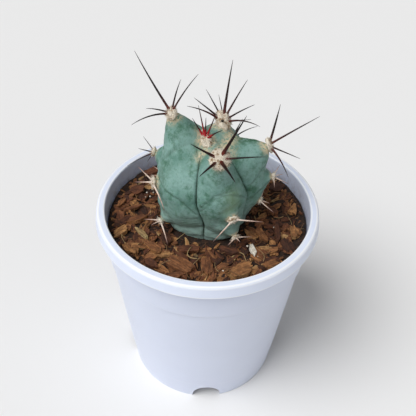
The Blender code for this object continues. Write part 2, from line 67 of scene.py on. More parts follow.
# ---------------------------------------------------------------- the stem's plan, as in the solid model
SOIL_LEVEL = 92.0
STEM_CORE = Vector((0.0, 2.0, 112.0))
BUMP_ACROSS = 7.0
BUMP_ABOVE = 6.0
BUMP_BELOW = 9.0
BUMP_SHARPNESS = 0.75
BUMP_MIX = 3.0
LOBE_POWER = 2.3
FURROW_PROFILE = ((0, 23.0), (20, 22.0), (45, 20.4), (70, 19.3), (90, 18.8), (110, 19.2), (130, 20.6),
                  (141, 24.6), (150, 28.0), (160, 29.6), (170, 30.6), (180, 31.0))
RIB_PROFILE = ((0, 0.0), (20, 0.8), (45, 2.8), (70, 3.8), (90, 4.2), (110, 3.8), (130, 2.6), (145, 1.2),
               (160, 0.0), (180, 0.0))

# Each rib in order round the stem, and its areoles from the top down: azimuth from -Y towards +X in
# degrees, reach from the stem's axis, height above the soil and breadth of the tubercle, then which way
# the wool faces (azimuth, elevation), and the pad's length up the rib, width across it and thickness.
RIBS = {
    "left": {
        "areole_left_top": (-88, 15.6, 52.8, 1.18, (-80, 62), (4.6, 7.4, 3.0)),
        "areole_left_middle": (-74, 23.8, 22.0, 1.0, (-78, 2), (6.0, 3.4, 2.0)),
        "areole_left_low": (-61, 22.9, 4.3, 1.0, (-58, -22), (3.6, 3.2, 1.8)),
    },
    "front": {
        "areole_front_top": (11, 19.9, 45.7, 1.0, (11, 44), (8.4, 8.4, 3.0)),
        "areole_front_middle": (27, 23.0, 15.4, 1.0, (29, 8), (3.4, 5.0, 2.0)),
        "areole_front_low": (32, 22.6, 4.0, 1.0, (34, -20), (2.8, 4.2, 1.8)),
    },
    "right": {
        "areole_right_top": (92, 24.0, 38.0, 1.1, (92, 20), (7.0, 4.4, 2.4)),
        "areole_right_middle": (88, 27.0, 23.0, 1.0, (86, 0), (4.0, 3.0, 1.8)),
        "areole_right_low": (74, 22.6, 14.0, 1.0, (76, -12), (3.6, 3.0, 1.8)),
    },
    "back": {
        "areole_back_top": (150, 9.5, 43.9, 0.72, (20, 48), (9.6, 6.8, 4.0)),
        "areole_back_middle": (158, 23.6, 24.0, 1.0, (158, 6), (4.6, 3.6, 2.0)),
        "areole_back_low": (166, 22.4, 6.0, 1.0, (166, -18), (3.4, 3.2, 1.8)),
    },
    "back_left": {
        "areole_back_left_middle": (-108, 25.0, 26.8, 1.25, (-110, 12), (4.6, 3.4, 2.0)),
        "areole_back_left_low": (-126, 23.0, 9.0, 1.0, (-126, -14), (3.6, 3.2, 1.8)),
    },
}
APEX_AREOLE = (-28, 4.4, 43.2, 1.0, (20, 62), (8.0, 4.6, 2.4))
FURROWS = {"left": (0.70, 0.60), "front": (0.37, 0.55), "right": (0.5, 0.5), "back": (0.5, 0.5),
           "back_left": (0.5, 0.5)}
FURROW_ANGLES = (40.0, 90.0)
SWELLS = ((-80, 19, 1.8, 5.0),)

# Folds where one tubercle's flank laps over the next one's: (azimuth, polar angle) along each fold.
FOLDS = (
    ((-74, 56), (-67, 46), (-61, 38), (-53, 29), (-48, 25), (-42, 23), (-34, 23), (-22, 33)),
    ((-74, 76), (-60, 80), (-48, 81), (-35, 84), (-27, 91), (-14, 104)),
    ((-9, 96), (-2, 85), (6, 73), (15, 69), (26, 70), (37, 76), (50, 87)),
    ((-8, 88), (-1, 78), (7, 69), (17, 66), (27, 66)),
    ((62, 96), (74, 88), (90, 86), (106, 92), (118, 104)),
    ((60, 76), (76, 66), (94, 64), (112, 72), (124, 84)),
    ((-128, 94), (-116, 84), (-104, 84), (-92, 92)),
    ((136, 70), (148, 58), (164, 57), (180, 68), (196, 84)),
    ((138, 104), (152, 94), (168, 93), (184, 102)),
    ((-152, 104), (-138, 92), (-124, 90), (-110, 100)),
)

# Stains on the skin: what it is, half width, strength, and the run it follows as (x, y, height above
# the soil) from the stem's axis.
STAINS = (
    ("cork", 2.1, 1.0, ((-5.5, -2.0, 45.3), (-3.6, -4.8, 42.4), (-2.4, -6.4, 41.5), (-1.6, -9.6, 42.0),
                        (-3.9, -10.8, 39.5))),
    ("cork", 3.0, 1.0, ((8.5, 6.2, 41.3), (9.0, 3.3, 41.3), (7.6, -0.9, 41.2), (6.4, -4.7, 40.8),
                        (4.8, -9.2, 42.4))),
    ("cork", 2.0, 0.6, ((9.0, -4.5, 40.0), (9.4, -8.0, 39.5), (8.6, -12.6, 41.5))),
    ("yellowing", 3.4, 0.55, ((9.0, -18.5, 27.2), (9.7, -18.8, 22.8), (8.0, -19.4, 21.0))),
    ("rub", 3.0, 1.0, ((9.2, 0.2, 41.0), (12.2, 2.0, 40.3), (15.4, 2.3, 39.7), (18.7, 2.3, 39.3),
                       (21.0, 3.0, 37.5))),
    ("rub", 2.6, 0.9, ((12.4, 7.3, 38.5), (15.7, 6.8, 38.3), (18.6, 6.6, 37.9))),
    ("rub", 2.4, 0.55, ((-20.2, -7.4, 26.8), (-18.1, -8.0, 30.5), (-15.5, -8.8, 33.7))),
    ("rub", 1.8, 0.6, ((-13.0, -3.0, 49.8), (-13.0, -5.5, 45.0))),
    ("rub", 1.5, 0.6, ((-9.2, -15.3, 27.5), (-8.6, -15.8, 23.5))),
    ("rub", 2.6, 0.7, ((-13.6, -2.2, 49.1), (-10.4, -4.1, 46.0))),
    ("rub", 1.1, 0.9, ((-0.3, -17.8, 37.8), (-0.2, -18.2, 36.4))),
    ("rub", 2.4, 0.6, ((-16.9, -10.3, 29.3), (-18.0, -10.8, 26.1))),
    ("rub", 2.2, 0.8, ((10.8, -17.5, 10.5), (8.2, -17.2, 5.9))),
    ("rub", 1.6, 0.6, ((-6.0, -6.6, 41.5), (-7.5, -7.6, 40.0))),
    ("rub", 2.6, 0.6, ((17.0, -9.0, 22.0), (19.5, -8.0, 14.0))),
    ("rub", 2.8, 0.5, ((-14.0, 15.0, 30.0), (-18.0, 13.0, 20.0))),
    ("rub", 2.8, 0.5, ((6.0, 21.0, 30.0), (4.0, 23.0, 20.0))),
)

# Each areole's spines: azimuth, elevation, length, root diameter, and the bow of its middle towards
# the sky as a share of its length.
SPINES = {
    "areole_apex": ((81, 40, 7.7, 0.9, 0.04), (-155, 56, 12.8, 0.8, 0.0), (180, 76, 8.3, 0.8, 0.0),
                    (144, 54, 10.3, 0.8, 0.0), (-124, 48, 8.9, 0.8, 0.0)),
    "areole_left_top": ((-134, 41, 27.6, 1.1, -0.02), (164, 37, 13.3, 0.9, 0.05),
                        (130, 44, 17.4, 0.8, 0.05), (-108, -3, 9.8, 0.8, 0.05),
                        (-65, -5, 15.7, 0.9, 0.10)),
    "areole_back_top": ((168, 53, 23.7, 1.4, 0.0), (146, 33, 19.1, 1.0, 0.03), (110, 22, 13.2, 0.9, 0.02),
                        (75, 3, 14.2, 1.0, 0.12), (-148, 26, 14.4, 0.8, 0.03), (-170, 16, 12.4, 0.6, 0.0),
                        (-93, 22, 14.6, 1.0, 0.08), (-115, 27, 13.7, 1.0, 0.0), (114, -11, 11.4, 0.5, 0.0),
                        (2, 42, 3.6, 1.7, 0.0)),
    "areole_front_top": ((18, 12, 17.2, 1.6, 0.0), (111, 61, 18.6, 1.6, 0.0), (-83, 35, 11.6, 1.3, 0.0),
                         (-34, 1, 11.2, 1.3, 0.0), (79, 15, 16.1, 1.0, 0.0)),
    "areole_right_top": ((158, 52, 16.3, 1.2, -0.06), (163, 35, 13.9, 0.9, -0.04),
                         (107, 27, 23.2, 1.0, 0.0), (89, -24, 14.3, 0.8, 0.0), (37, -31, 14.4, 1.0, 0.06)),
    "areole_back_left_middle": ((-98, 8, 6.6, 0.7, 0.0), (-139, 23, 8.3, 0.5, 0.0),
                                (-68, -20, 12.4, 0.6, 0.05), (-110, -62, 6.5, 0.5, 0.0)),
    "areole_left_middle": ((-122, 29, 8.8, 0.7, 0.0), (-90, -2, 7.7, 0.8, 0.0),
                           (27, -22, 13.1, 0.9, 0.08)),
    "areole_left_low": ((-90, 2, 6.8, 0.7, 0.0), (-56, -5, 4.6, 0.6, 0.0), (19, -14, 11.3, 0.8, 0.0)),
    "areole_front_middle": ((85, 1, 11.8, 0.8, 0.0), (-41, -17, 12.2, 0.8, 0.0)),
    "areole_front_low": ((-35, -4, 5.0, 0.7, 0.0), (35, -2, 3.1, 0.6, 0.0), (92, 3, 6.5, 0.6, 0.0)),
    "areole_right_middle": ((74, -17, 6.7, 0.6, 0.0), (147, 28, 5.0, 0.5, 0.0), (119, -8, 4.7, 0.5, 0.0),
                            (5, -28, 4.4, 0.5, 0.0)),
    "areole_right_low": ((159, 26, 5.2, 0.5, 0.0), (56, -21, 7.8, 0.7, 0.0), (90, -21, 4.5, 0.6, 0.0)),
    "areole_back_middle": ((110, 22, 13.0, 0.8, 0.08), (158, 8, 15.0, 0.9, 0.0),
                           (-154, 26, 11.0, 0.7, 0.0), (-176, -24, 9.0, 0.7, 0.0)),
    "areole_back_low": ((126, 4, 8.0, 0.6, 0.0), (-160, 4, 8.5, 0.6, 0.0)),
    "areole_back_left_low": ((-92, -2, 8.0, 0.6, 0.0), (-126, 6, 9.5, 0.7, 0.0),
                             (-162, -4, 7.5, 0.6, 0.0)),
}
DARK_SPINED = ("areole_left_top", "areole_back_top", "areole_front_top", "areole_right_top",
               "areole_back_left_middle", "areole_back_middle")

# How each named chip looks, from 0 for the darkest bark to 1 for the palest; others take a random tone.
CHIP_TONES = {
    "bark_chip_orange_left": 0.80, "bark_chip_pale_strip": 0.95, "bark_chip_olive_left": 0.72,
    "bark_chip_fibrous_front": 0.66, "bark_chip_big_front": 0.56, "bark_chip_wedge_front": 0.48,
    "bark_chip_orange_right": 0.60, "bark_chip_small_orange": 0.62, "bark_chip_tan_right": 0.70,
    "bark_chip_red_foot": 0.30, "bark_chip_crumbly_foot": 0.34, "bark_chip_back_stick": 0.36,
    "bark_chip_dark_foot": 0.26, "bark_chip_dark_back_right": 0.20, "bark_chip_long_left": 0.46,
    "bark_chip_diagonal": 0.58, "bark_chip_fibrous_right": 0.74, "bark_chip_red_left": 0.34,
}


# ---------------------------------------------------------------- settings
def linear(hex_colour):
    """The linear RGBA of an sRGB hex colour."""
    text = hex_colour.lstrip("#")
    channels = []
    for start in (0, 2, 4):
        value = int(text[start:start + 2], 16) / 255.0
        channels.append(value / 12.92 if value <= 0.04045 else ((value + 0.055) / 1.055) ** 2.4)
    return (*channels, 1.0)


def length_setting(name, description, millimetres):
    return FloatProperty(name=name, description=description, default=millimetres * MM, min=0.0,
                         subtype="DISTANCE", unit="LENGTH")


def colour_setting(name, description, hex_colour):
    return FloatVectorProperty(name=name, description=description, default=linear(hex_colour), size=4,
                               min=0.0, max=1.0, subtype="COLOR")


def count_setting(name, description, count):
    return IntProperty(name=name, description=description, default=count, min=0)


def share_setting(name, description, share):
    return FloatProperty(name=name, description=description, default=share, min=0.0, max=1.0)


def strength_setting(name, description, strength):
    return FloatProperty(name=name, description=description, default=strength, min=0.0)


def angle_setting(name, description, degrees):
    return FloatProperty(name=name, description=description, default=math.radians(degrees),
                         min=-math.pi, max=math.pi, subtype="ANGLE")


class CactusPotSettings(bpy.types.PropertyGroup):
    mouth_radius: length_setting("Mouth radius", "Inner radius at the rim", 45.5)
    wall: length_setting("Wall", "Thickness of the moulded wall", 1.1)
    skirt: length_setting("Skirt", "How far the rim's skirt hangs", 5.7)
    ledge: length_setting("Ledge height", "Height of the step in the wall", 76.0)
    foot_radius: length_setting("Foot radius", "Outer radius of the foot ring", 36.2)
    floor: length_setting("Floor height", "Height of the floor's underside above the table", 10.3)
    arch_width: length_setting("Arch width", "Width of a drain arch", 13.4)
    arch_height: length_setting("Arch height", "Height of a drain arch", 9.2)
    arch_turn: angle_setting("Arch turn", "Azimuth of the front drain arch", 4.0)
    segments: count_setting("Segments", "Facets round the pot", 168)
    colour: colour_setting("Colour", "Bluish-white pigment of the plastic", "#e2e9fc")
    # Painted shade: the single wall below the rim is painted darker than the doubled rim.
    thin_wall_shade: share_setting("Thin wall", "How much darker the single wall is than the doubled rim", 0.07)


class CactusStemSettings(bpy.types.PropertyGroup):
    around: count_setting("Columns", "Faces round the stem", 330)
    down: count_setting("Rows", "Faces from the growing point to the root", 230)
    furrow_depth: length_setting("Furrow depth", "Depth of the crease between two ribs", 0.9)
    furrow_width: length_setting("Furrow width", "Half width of that crease", 0.42)
    fold_depth: length_setting("Fold depth", "Depth of the folds between tubercles", 0.34)
    skin: colour_setting("Skin", "Blue-green skin under its bloom", "#60897d")
    bloom: colour_setting("Bloom", "Pale waxy bloom", "#83a79f")
    blotch: colour_setting("Blotches", "Dark green where the bloom is rubbed off", "#38674f")
    # Painted shade: the dark colour painted into the furrows' creases, where shade falls.
    crease: colour_setting("Creases", "Brown-green of the deep creases", "#2b3527")
    cork: colour_setting("Cork", "Pale tan cork and old wool round the areoles", "#c9bb9c")


class CactusSpineSettings(bpy.types.PropertyGroup):
    sides: count_setting("Sides", "Faces round a spine", 10)
    stations: count_setting("Stations", "Rings along a spine", 18)
    tip: length_setting("Tip", "Radius of a spine's tip", 0.06)
    wool_strands: count_setting("Wool strands", "Hairs in the wool per square millimetre of pad", 9)
    wool: colour_setting("Wool", "Cream wool of the areoles", "#efe5d2")


class CactusMixSettings(bpy.types.PropertyGroup):
    plates: count_setting("Plates", "Overlapping plates of bark", 240)
    small_chips: count_setting("Small chips", "Splinters and small chips of bark", 900)
    fibres: count_setting("Fibres", "Loose bark and root fibres", 110)
    specks: count_setting("White specks", "Grains of white mineral", 10)
    earth: colour_setting("Earth", "Moist fines between the chips", "#2b1a10")


class CactusStageSettings(bpy.types.PropertyGroup):
    floor_size: length_setting("Floor", "Side of the floor", 6000.0)
    floor_colour: colour_setting("Floor colour", "Pale matt floor", "#ebebeb")
    key_strength: strength_setting("Key strength", "Strength of the large soft lamp", 2.62)
    key_spread: angle_setting("Key spread", "How wide the key lamp looks from the pot", 42.0)
    fill_strength: strength_setting("Fill strength", "Strength of the very soft lamp in front", 0.47)
    fill_spread: angle_setting("Fill spread", "How wide the fill lamp looks from the pot", 100.0)
    sky_strength: strength_setting("Sky", "Strength of the light from overhead", 0.335)
    sky_floor: share_setting("Low sky", "The low sky's strength as a share of overhead", 0.30)


# ---------------------------------------------------------------- helpers
def direction(azimuth, elevation):
    """A unit vector: azimuth 0 is -Y and 90 is +X, and elevation is above the horizon, in degrees."""
    a, e = math.radians(azimuth), math.radians(elevation)
    return Vector((math.sin(a) * math.cos(e), -math.cos(a) * math.cos(e), math.sin(e)))


def mesh_piece(name, points, faces, material, attributes=None, smooth=True):
    """A mesh object from points in millimetres, with named numbers or vectors on its points."""
    mesh = bpy.data.meshes.new(name)
    mesh.from_pydata((np.asarray(points, dtype=float) * MM).tolist(), [], faces)
    for label, values in (attributes or {}).items():
        values = np.asarray(values, dtype=np.float32)
        kind, field = ("FLOAT_VECTOR", "vector") if values.ndim == 2 else ("FLOAT", "value")
        mesh.attributes.new(label, kind, "POINT").data.foreach_set(field, values.ravel())
    if smooth:
        mesh.shade_smooth()
    mesh.materials.append(material)
    mesh.validate()
    obj = bpy.data.objects.new(name, mesh)
    bpy.context.scene.collection.objects.link(obj)
    return obj


def break_shading(obj, degrees):
    """Smooth shading that breaks at the edges sharper than an angle."""
    obj.data.shade_smooth()
    obj.data.set_sharp_from_angle(angle=math.radians(degrees))


def capped_faces(rows, columns):
    """Faces of rows of points round Z, with a first and a last point on the axis that close them."""
    faces = []
    end = 1 + rows * columns
    for k in range(columns):
        n = (k + 1) % columns
        faces.append((0, 1 + n, 1 + k))
        for row in range(rows - 1):
            a = 1 + row * columns
            faces.append((a + k, a + n, a + columns + n, a + columns + k))
        faces.append((end, end - columns + k, end - columns + n))
    return faces


def place(obj, slot, *nodes):
    """Puts a piece on the one body and lets it stand for CAD nodes, which it hides; its slot is not used."""
    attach(obj, "root")
    if nodes:
        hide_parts(*nodes)
    return obj


class Heap:
    """Many small shapes gathered into one mesh."""

    def __init__(self):
        self.points = []
        self.faces = []
        self.attributes = {}

    def add(self, points, faces, **attributes):
        start = len(self.points)
        self.points.extend(tuple(point) for point in points)
        self.faces.extend(tuple(start + k for k in face) for face in faces)
        for label, values in attributes.items():
            self.attributes.setdefault(label, []).extend(values)

    def piece(self, name, material, smooth=True):
        return mesh_piece(name, self.points, self.faces, material, self.attributes, smooth)


def add_tube(heap, path, radii, sides, **attributes):
    """A closed tapered tube along a path. Each attribute has one value for each station."""
    points, spread = [], {label: [] for label in attributes}
    side = Vector((0, 0, 1)).cross(path[1] - path[0])
    if side.length < 1e-6:
        side = Vector((1, 0, 0))
    side.normalize()
    for k, (place_, radius) in enumerate(zip(path, radii)):
        along = (path[min(k + 1, len(path) - 1)] - path[max(k - 1, 0)]).normalized()
        side = (side - along * side.dot(along)).normalized()
        other = along.cross(side)
        for s in range(sides):
            turn = math.tau * s / sides
            points.append(place_ + (side * math.cos(turn) + other * math.sin(turn)) * radius)
            for label, values in attributes.items():
                spread[label].append(values[k])
    faces = [tuple(range(sides - 1, -1, -1)), tuple(range((len(path) - 1) * sides, len(path) * sides))]
    for k in range(len(path) - 1):
        for s in range(sides):
            n = (s + 1) % sides
            faces.append((k * sides + s, k * sides + n, (k + 1) * sides + n, (k + 1) * sides + s))
    heap.add(points, faces, **spread)


# ---------------------------------------------------------------- materials
BLACK = (0.0, 0.0, 0.0, 1.0)
WHITE = (1.0, 1.0, 1.0, 1.0)


def add_node(tree, kind, inputs=None, stops=None, **settings):
    """Adds a node, sets its fields, sets or links its inputs, and fills a colour ramp's stops."""
    made = tree.nodes.new(kind)
    for field, value in settings.items():
        setattr(made, field, value)
    for socket, value in (inputs or {}).items():
        if isinstance(value, bpy.types.NodeSocket):
            tree.links.new(value, made.inputs[socket])
        else:
            made.inputs[socket].default_value = value
    for index, (position, colour) in enumerate(stops or ()):
        ramp = made.color_ramp
        stop = ramp.elements[index] if index < len(ramp.elements) else ramp.elements.new(position)
        stop.position = position
        stop.color = colour if not isinstance(colour, str) else linear(colour)
    return made


def new_material(name, **sockets):
    """A material whose Principled shader has the given values, with its tree and object coordinates."""
    material = bpy.data.materials.new(name)
    material.use_nodes = True
    tree = material.node_tree
    shader = tree.nodes["Principled BSDF"]
    for socket, value in sockets.items():
        shader.inputs[socket.replace("_", " ")].default_value = value
    place_ = add_node(tree, "ShaderNodeTexCoord").outputs["Object"]
    return material, tree, shader, place_


def grain_scale(millimetres):
    """A noise texture's scale for a pattern of this size on the object."""
    return 1.0 / (millimetres * MM)


def noise_of(tree, place_, millimetres, detail=3.0, roughness=0.55):
    return add_node(tree, "ShaderNodeTexNoise", {"Vector": place_, "Scale": grain_scale(millimetres),
                                                 "Detail": detail, "Roughness": roughness}).outputs["Fac"]


def ramp_of(tree, factor, *stops):
    return add_node(tree, "ShaderNodeValToRGB", {"Fac": factor}, stops=stops).outputs["Color"]


def mix_colour(tree, factor, first, second, blend="MIX"):
    made = add_node(tree, "ShaderNodeMix", data_type="RGBA", blend_type=blend)
    for socket, value in ((0, factor), (6, first), (7, second)):
        if isinstance(value, bpy.types.NodeSocket):
            tree.links.new(value, made.inputs[socket])
        else:
            made.inputs[socket].default_value = value
    return made.outputs[2]


def maths(tree, operation, first, second=0.0):
    return add_node(tree, "ShaderNodeMath", {0: first, 1: second}, operation=operation).outputs[0]


def mask_of(tree, place_, millimetres, detail, roughness, low, high):
    """A patchy mask: 0 where the noise is under the low value, and 1 where it is over the high one."""
    return ramp_of(tree, noise_of(tree, place_, millimetres, detail, roughness), (low, BLACK), (high, WHITE))


def fade_of(tree, value, start, end):
    """A share that goes from 0 at the start value to 1 at the end value."""
    return add_node(tree, "ShaderNodeMapRange", {"Value": value, "From Min": start,
                                                 "From Max": end}).outputs["Result"]


def tinted(tree, colour, mask, share, tint):
    """A colour with a tint over it, as far as a mask and a share let it show."""
    return mix_colour(tree, maths(tree, "MULTIPLY", mask, share), colour, tint)


def bump(tree, shader, height, millimetres, strength=1.0):
    made = add_node(tree, "ShaderNodeBump", {"Height": height, "Strength": strength,
                                             "Distance": millimetres * MM})
    tree.links.new(made.outputs["Normal"], shader.inputs["Normal"])


def attribute(tree, name, output="Fac"):
    return add_node(tree, "ShaderNodeAttribute", attribute_name=name).outputs[output]


# How far under the rim's skirt the painted shade of the single wall fades in, and the heights between which
# soil dust lies on the pot's inside: it starts at the top one and is whole at the full one.
SINGLE_FADE = 1.5
DUST_TOP, DUST_FULL, DUST_BOTTOM = 97.0, 91.0, 86.0


def polypropylene(settings):
    """Injection-moulded polypropylene: an even satin with a fine orange peel, and soil dust inside.

    The single wall is painted a little darker than the doubled rim: painted shade for the light it lets
    through to the dark mix.
    The edges of its foot, ledge and rim are painted nearly white: painted highlight where they catch the
    light.
    """
    material, tree, shader, place_ = new_material("moulded_polypropylene", Roughness=0.36, IOR=1.49,
                                                  Subsurface_Weight=0.4, Subsurface_Scale=0.0012)
    shader.inputs["Subsurface Radius"].default_value = (1.0, 1.0, 1.0)
    axes = add_node(tree, "ShaderNodeSeparateXYZ", {"Vector": place_})
    flat = add_node(tree, "ShaderNodeCombineXYZ", {"X": axes.outputs["X"], "Y": axes.outputs["Y"]})
    reach = add_node(tree, "ShaderNodeVectorMath", {0: flat.outputs["Vector"]},
                     operation="LENGTH").outputs["Value"]
    clouds = noise_of(tree, place_, 22.0, detail=2.0)
    pigment = np.array(settings.colour[:3])
    shade = ramp_of(tree, clouds, (0.3, (*(pigment * 0.975), 1.0)), (0.7, tuple(settings.colour)))
    under_rim = POT_HIGH.z * MM - settings.skirt
    single = fade_of(tree, axes.outputs["Z"], under_rim, under_rim - SINGLE_FADE * MM)
    # Painted shade: darkens the single wall below the rim's skirt.
    shade = tinted(tree, shade, single, settings.thin_wall_shade, BLACK)
    inside = maths(tree, "MULTIPLY", maths(tree, "LESS_THAN", reach, settings.mouth_radius + 0.2 * MM),
                   maths(tree, "GREATER_THAN", axes.outputs["Z"], DUST_BOTTOM * MM))
    soil_edge = fade_of(tree, axes.outputs["Z"], DUST_TOP * MM, DUST_FULL * MM)
    smudge = mask_of(tree, place_, 3.2, 6.0, 0.7, 0.46, 0.74)
    dust = maths(tree, "MULTIPLY", maths(tree, "MULTIPLY", inside, soil_edge), smudge)
    shade = tinted(tree, shade, dust, 0.6, linear("#8a7464"))
    # Painted highlight: the pot's foot, ledge and rim edges are painted nearly white where they catch the
    # light.
    shade = tinted(tree, shade, attribute(tree, "painted_highlight"), 0.85, linear("#f8faff"))
    tree.links.new(shade, shader.inputs["Base Color"])
    bump(tree, shader, noise_of(tree, place_, 0.9, detail=2.0), 0.02)
    return material


def cactus_skin(settings):
    """Living cactus skin: blue-green under a waxy bloom that is patchy, rubbed and corky by the wool, with
    painted shade in its furrows and folds and painted light on its foot.
    """
    material, tree, shader, place_ = new_material("waxy_cactus_skin", Roughness=0.58, IOR=1.42,
                                                  Subsurface_Weight=0.06, Subsurface_Scale=0.0015)
    shader.inputs["Subsurface Radius"].default_value = (0.6, 1.0, 0.5)
    bloom = ramp_of(tree, noise_of(tree, place_, 9.0, detail=5.0, roughness=0.62),
                    (0.36, tuple(settings.skin)), (0.62, tuple(settings.bloom)))
    blotch = mask_of(tree, place_, 4.2, 7.0, 0.68, 0.50, 0.64)
    colour = tinted(tree, bloom, blotch, 0.80, tuple(settings.blotch))
    speck = mask_of(tree, place_, 1.3, 6.0, 0.72, 0.50, 0.66)
    colour = tinted(tree, colour, speck, 0.42, linear("#3c6c59"))
    scuff = mask_of(tree, place_, 2.2, 6.0, 0.75, 0.55, 0.70)
    colour = tinted(tree, colour, scuff, 0.35, linear("#9db5ab"))
    colour = mix_colour(tree, attribute(tree, "yellowing"), colour, linear("#7d9467"))
    patchy = mask_of(tree, place_, 1.9, 6.0, 0.7, 0.34, 0.56)
    colour = tinted(tree, colour, attribute(tree, "rub"), patchy, linear("#2b5a3b"))
    # Paler towards the soil: partly grey aged skin, partly painted light on the shaded foot.
    colour = mix_colour(tree, attribute(tree, "aged_foot_and_painted_light"), colour, linear("#9db9b0"))
    fleck = mask_of(tree, place_, 1.1, 5.0, 0.72, 0.40, 0.52)
    colour = tinted(tree, colour, attribute(tree, "cork"), fleck, tuple(settings.cork))
    # Painted shade: the folds between tubercles are darkened.
    colour = mix_colour(tree, attribute(tree, "fold"), colour, linear("#3d5c4a"))
    # Painted shade: the furrows' creases are darkened.
    colour = mix_colour(tree, attribute(tree, "furrow"), colour, tuple(settings.crease))
    tree.links.new(colour, shader.inputs["Base Color"])
    pores = noise_of(tree, place_, 0.7, detail=2.0)
    waves = noise_of(tree, place_, 3.0, detail=3.0)
    bump(tree, shader, maths(tree, "ADD", maths(tree, "MULTIPLY", pores, 0.25), waves), 0.35, 0.7)
    return material


def spine_horn(name, stops, warm):
    """Horn-like spine tissue: dry, smooth and darkest along its middle, ringed by its growth."""
    material, tree, shader, place_ = new_material(name, Roughness=0.5, IOR=1.45, Specular_IOR_Level=0.3)
    along = attribute(tree, "along")
    shade = ramp_of(tree, along, *stops)
    shade = mix_colour(tree, attribute(tree, "warmth"), shade, linear(warm))
    flecks = ramp_of(tree, noise_of(tree, place_, 0.8, detail=3.0), (0.35, (0.72, 0.72, 0.72, 1)),
                     (0.7, (1.15, 1.12, 1.1, 1)))
    tree.links.new(mix_colour(tree, 1.0, shade, flecks, "MULTIPLY"), shader.inputs["Base Color"])
    rings = add_node(tree, "ShaderNodeTexWave", {"Vector": place_, "Scale": grain_scale(0.7) / math.tau,
                                                 "Distortion": 4.0}, wave_type="BANDS").outputs["Fac"]
    bump(tree, shader, rings, 0.03)
    return material


def wool_felt(settings):
    """Short plant wool: matt and felted, cream where it is young and tan where it has weathered."""
    material, tree, shader, place_ = new_material("areole_wool_felt", Roughness=0.95, Sheen_Weight=0.25)
    patches = ramp_of(tree, noise_of(tree, place_, 1.6, detail=4.0), (0.36, "#a88b69"),
                      (0.46, tuple(settings.wool)), (0.75, "#f6efe0"))
    shade = mix_colour(tree, attribute(tree, "tone"), patches, linear("#6f5238"))
    tree.links.new(shade, shader.inputs["Base Color"])
    bump(tree, shader, noise_of(tree, place_, 0.5, detail=3.0), 0.25)
    return material


def pine_bark():
    """Composted pine bark: corky plates from near black to orange and tan, ridged along the grain."""
    material, tree, shader, place_ = new_material("composted_pine_bark", Roughness=0.86)
    shade = ramp_of(tree, attribute(tree, "tone"), (0.0, "#22140c"), (0.22, "#462819"), (0.40, "#6b4129"),
                    (0.58, "#8a5d39"), (0.78, "#a97d4f"), (1.0, "#b5a377"))
    grain = add_node(tree, "ShaderNodeMapping", {"Vector": attribute(tree, "grain", "Vector"),
                                                 "Scale": (0.28, 1.5, 1.5)}).outputs["Vector"]
    streak = add_node(tree, "ShaderNodeTexNoise", {"Vector": grain, "Scale": 1.0, "Detail": 5.0,
                                                   "Roughness": 0.65}).outputs["Fac"]
    streaks = ramp_of(tree, streak, (0.30, (0.30, 0.27, 0.25, 1)), (0.50, (0.95, 0.92, 0.90, 1)),
                      (0.70, (1.45, 1.40, 1.30, 1)))
    shade = mix_colour(tree, 1.0, shade, streaks, "MULTIPLY")
    spots = ramp_of(tree, noise_of(tree, place_, 2.4, detail=5.0, roughness=0.7),
                    (0.40, (0.62, 0.55, 0.50, 1)), (0.62, (1.1, 1.08, 1.05, 1)))
    shade = mix_colour(tree, 1.0, shade, spots, "MULTIPLY")
    tree.links.new(shade, shader.inputs["Base Color"])
    bump(tree, shader, streak, 0.5)
    return material


def bark_fines(settings):
    """Moist fines: crumbs of bark too small to pick out, dark and dull between the chips."""
    material, tree, shader, place_ = new_material("moist_bark_fines", Roughness=0.93)
    crumbs = ramp_of(tree, noise_of(tree, place_, 1.5, detail=7.0, roughness=0.72), (0.36, "#150c08"),
                     (0.52, tuple(settings.earth)), (0.70, "#5d3c25"))
    tree.links.new(crumbs, shader.inputs["Base Color"])
    bump(tree, shader, noise_of(tree, place_, 0.9, detail=5.0), 0.7)
    return material


def dry_fibre():
    """Dry bark and root fibre: dull straw to brown."""
    material, tree, shader, place_ = new_material("dry_root_fibre", Roughness=0.85)
    shade = ramp_of(tree, attribute(tree, "tone"), (0.0, "#3d2417"), (0.5, "#7a5735"), (1.0, "#b7a071"))
    tree.links.new(shade, shader.inputs["Base Color"])
    bump(tree, shader, noise_of(tree, place_, 0.6), 0.1)
    return material


def expanded_mineral():
    """Expanded white mineral: chalky and pitted."""
    material, tree, shader, place_ = new_material("expanded_white_mineral", Roughness=0.8)
    shade = ramp_of(tree, noise_of(tree, place_, 1.4, detail=4.0), (0.35, "#a89c88"), (0.6, "#e9e4d8"))
    tree.links.new(shade, shader.inputs["Base Color"])
    bump(tree, shader, noise_of(tree, place_, 0.6, detail=4.0), 0.2)
    return material


# ---------------------------------------------------------------- pot
# How far past a corner's arc its painted highlight fades out.
PAINTED_HIGHLIGHT_FADE = 0.3
FOOT_BAND = 1.8
FLOOR_THICKNESS = 1.5
ARCH_FOOT = 1.6
ARCH_STEPS = 24
ARCH_START, ARCH_REACH = -40.2, 10.0
DRAINS_ROUND = 6
DRAIN_CIRCLE = 21.0
MIDDLE_DRAIN, ROUND_DRAIN = 4.5, 3.5
POT_EDGE_DEGREES = 40


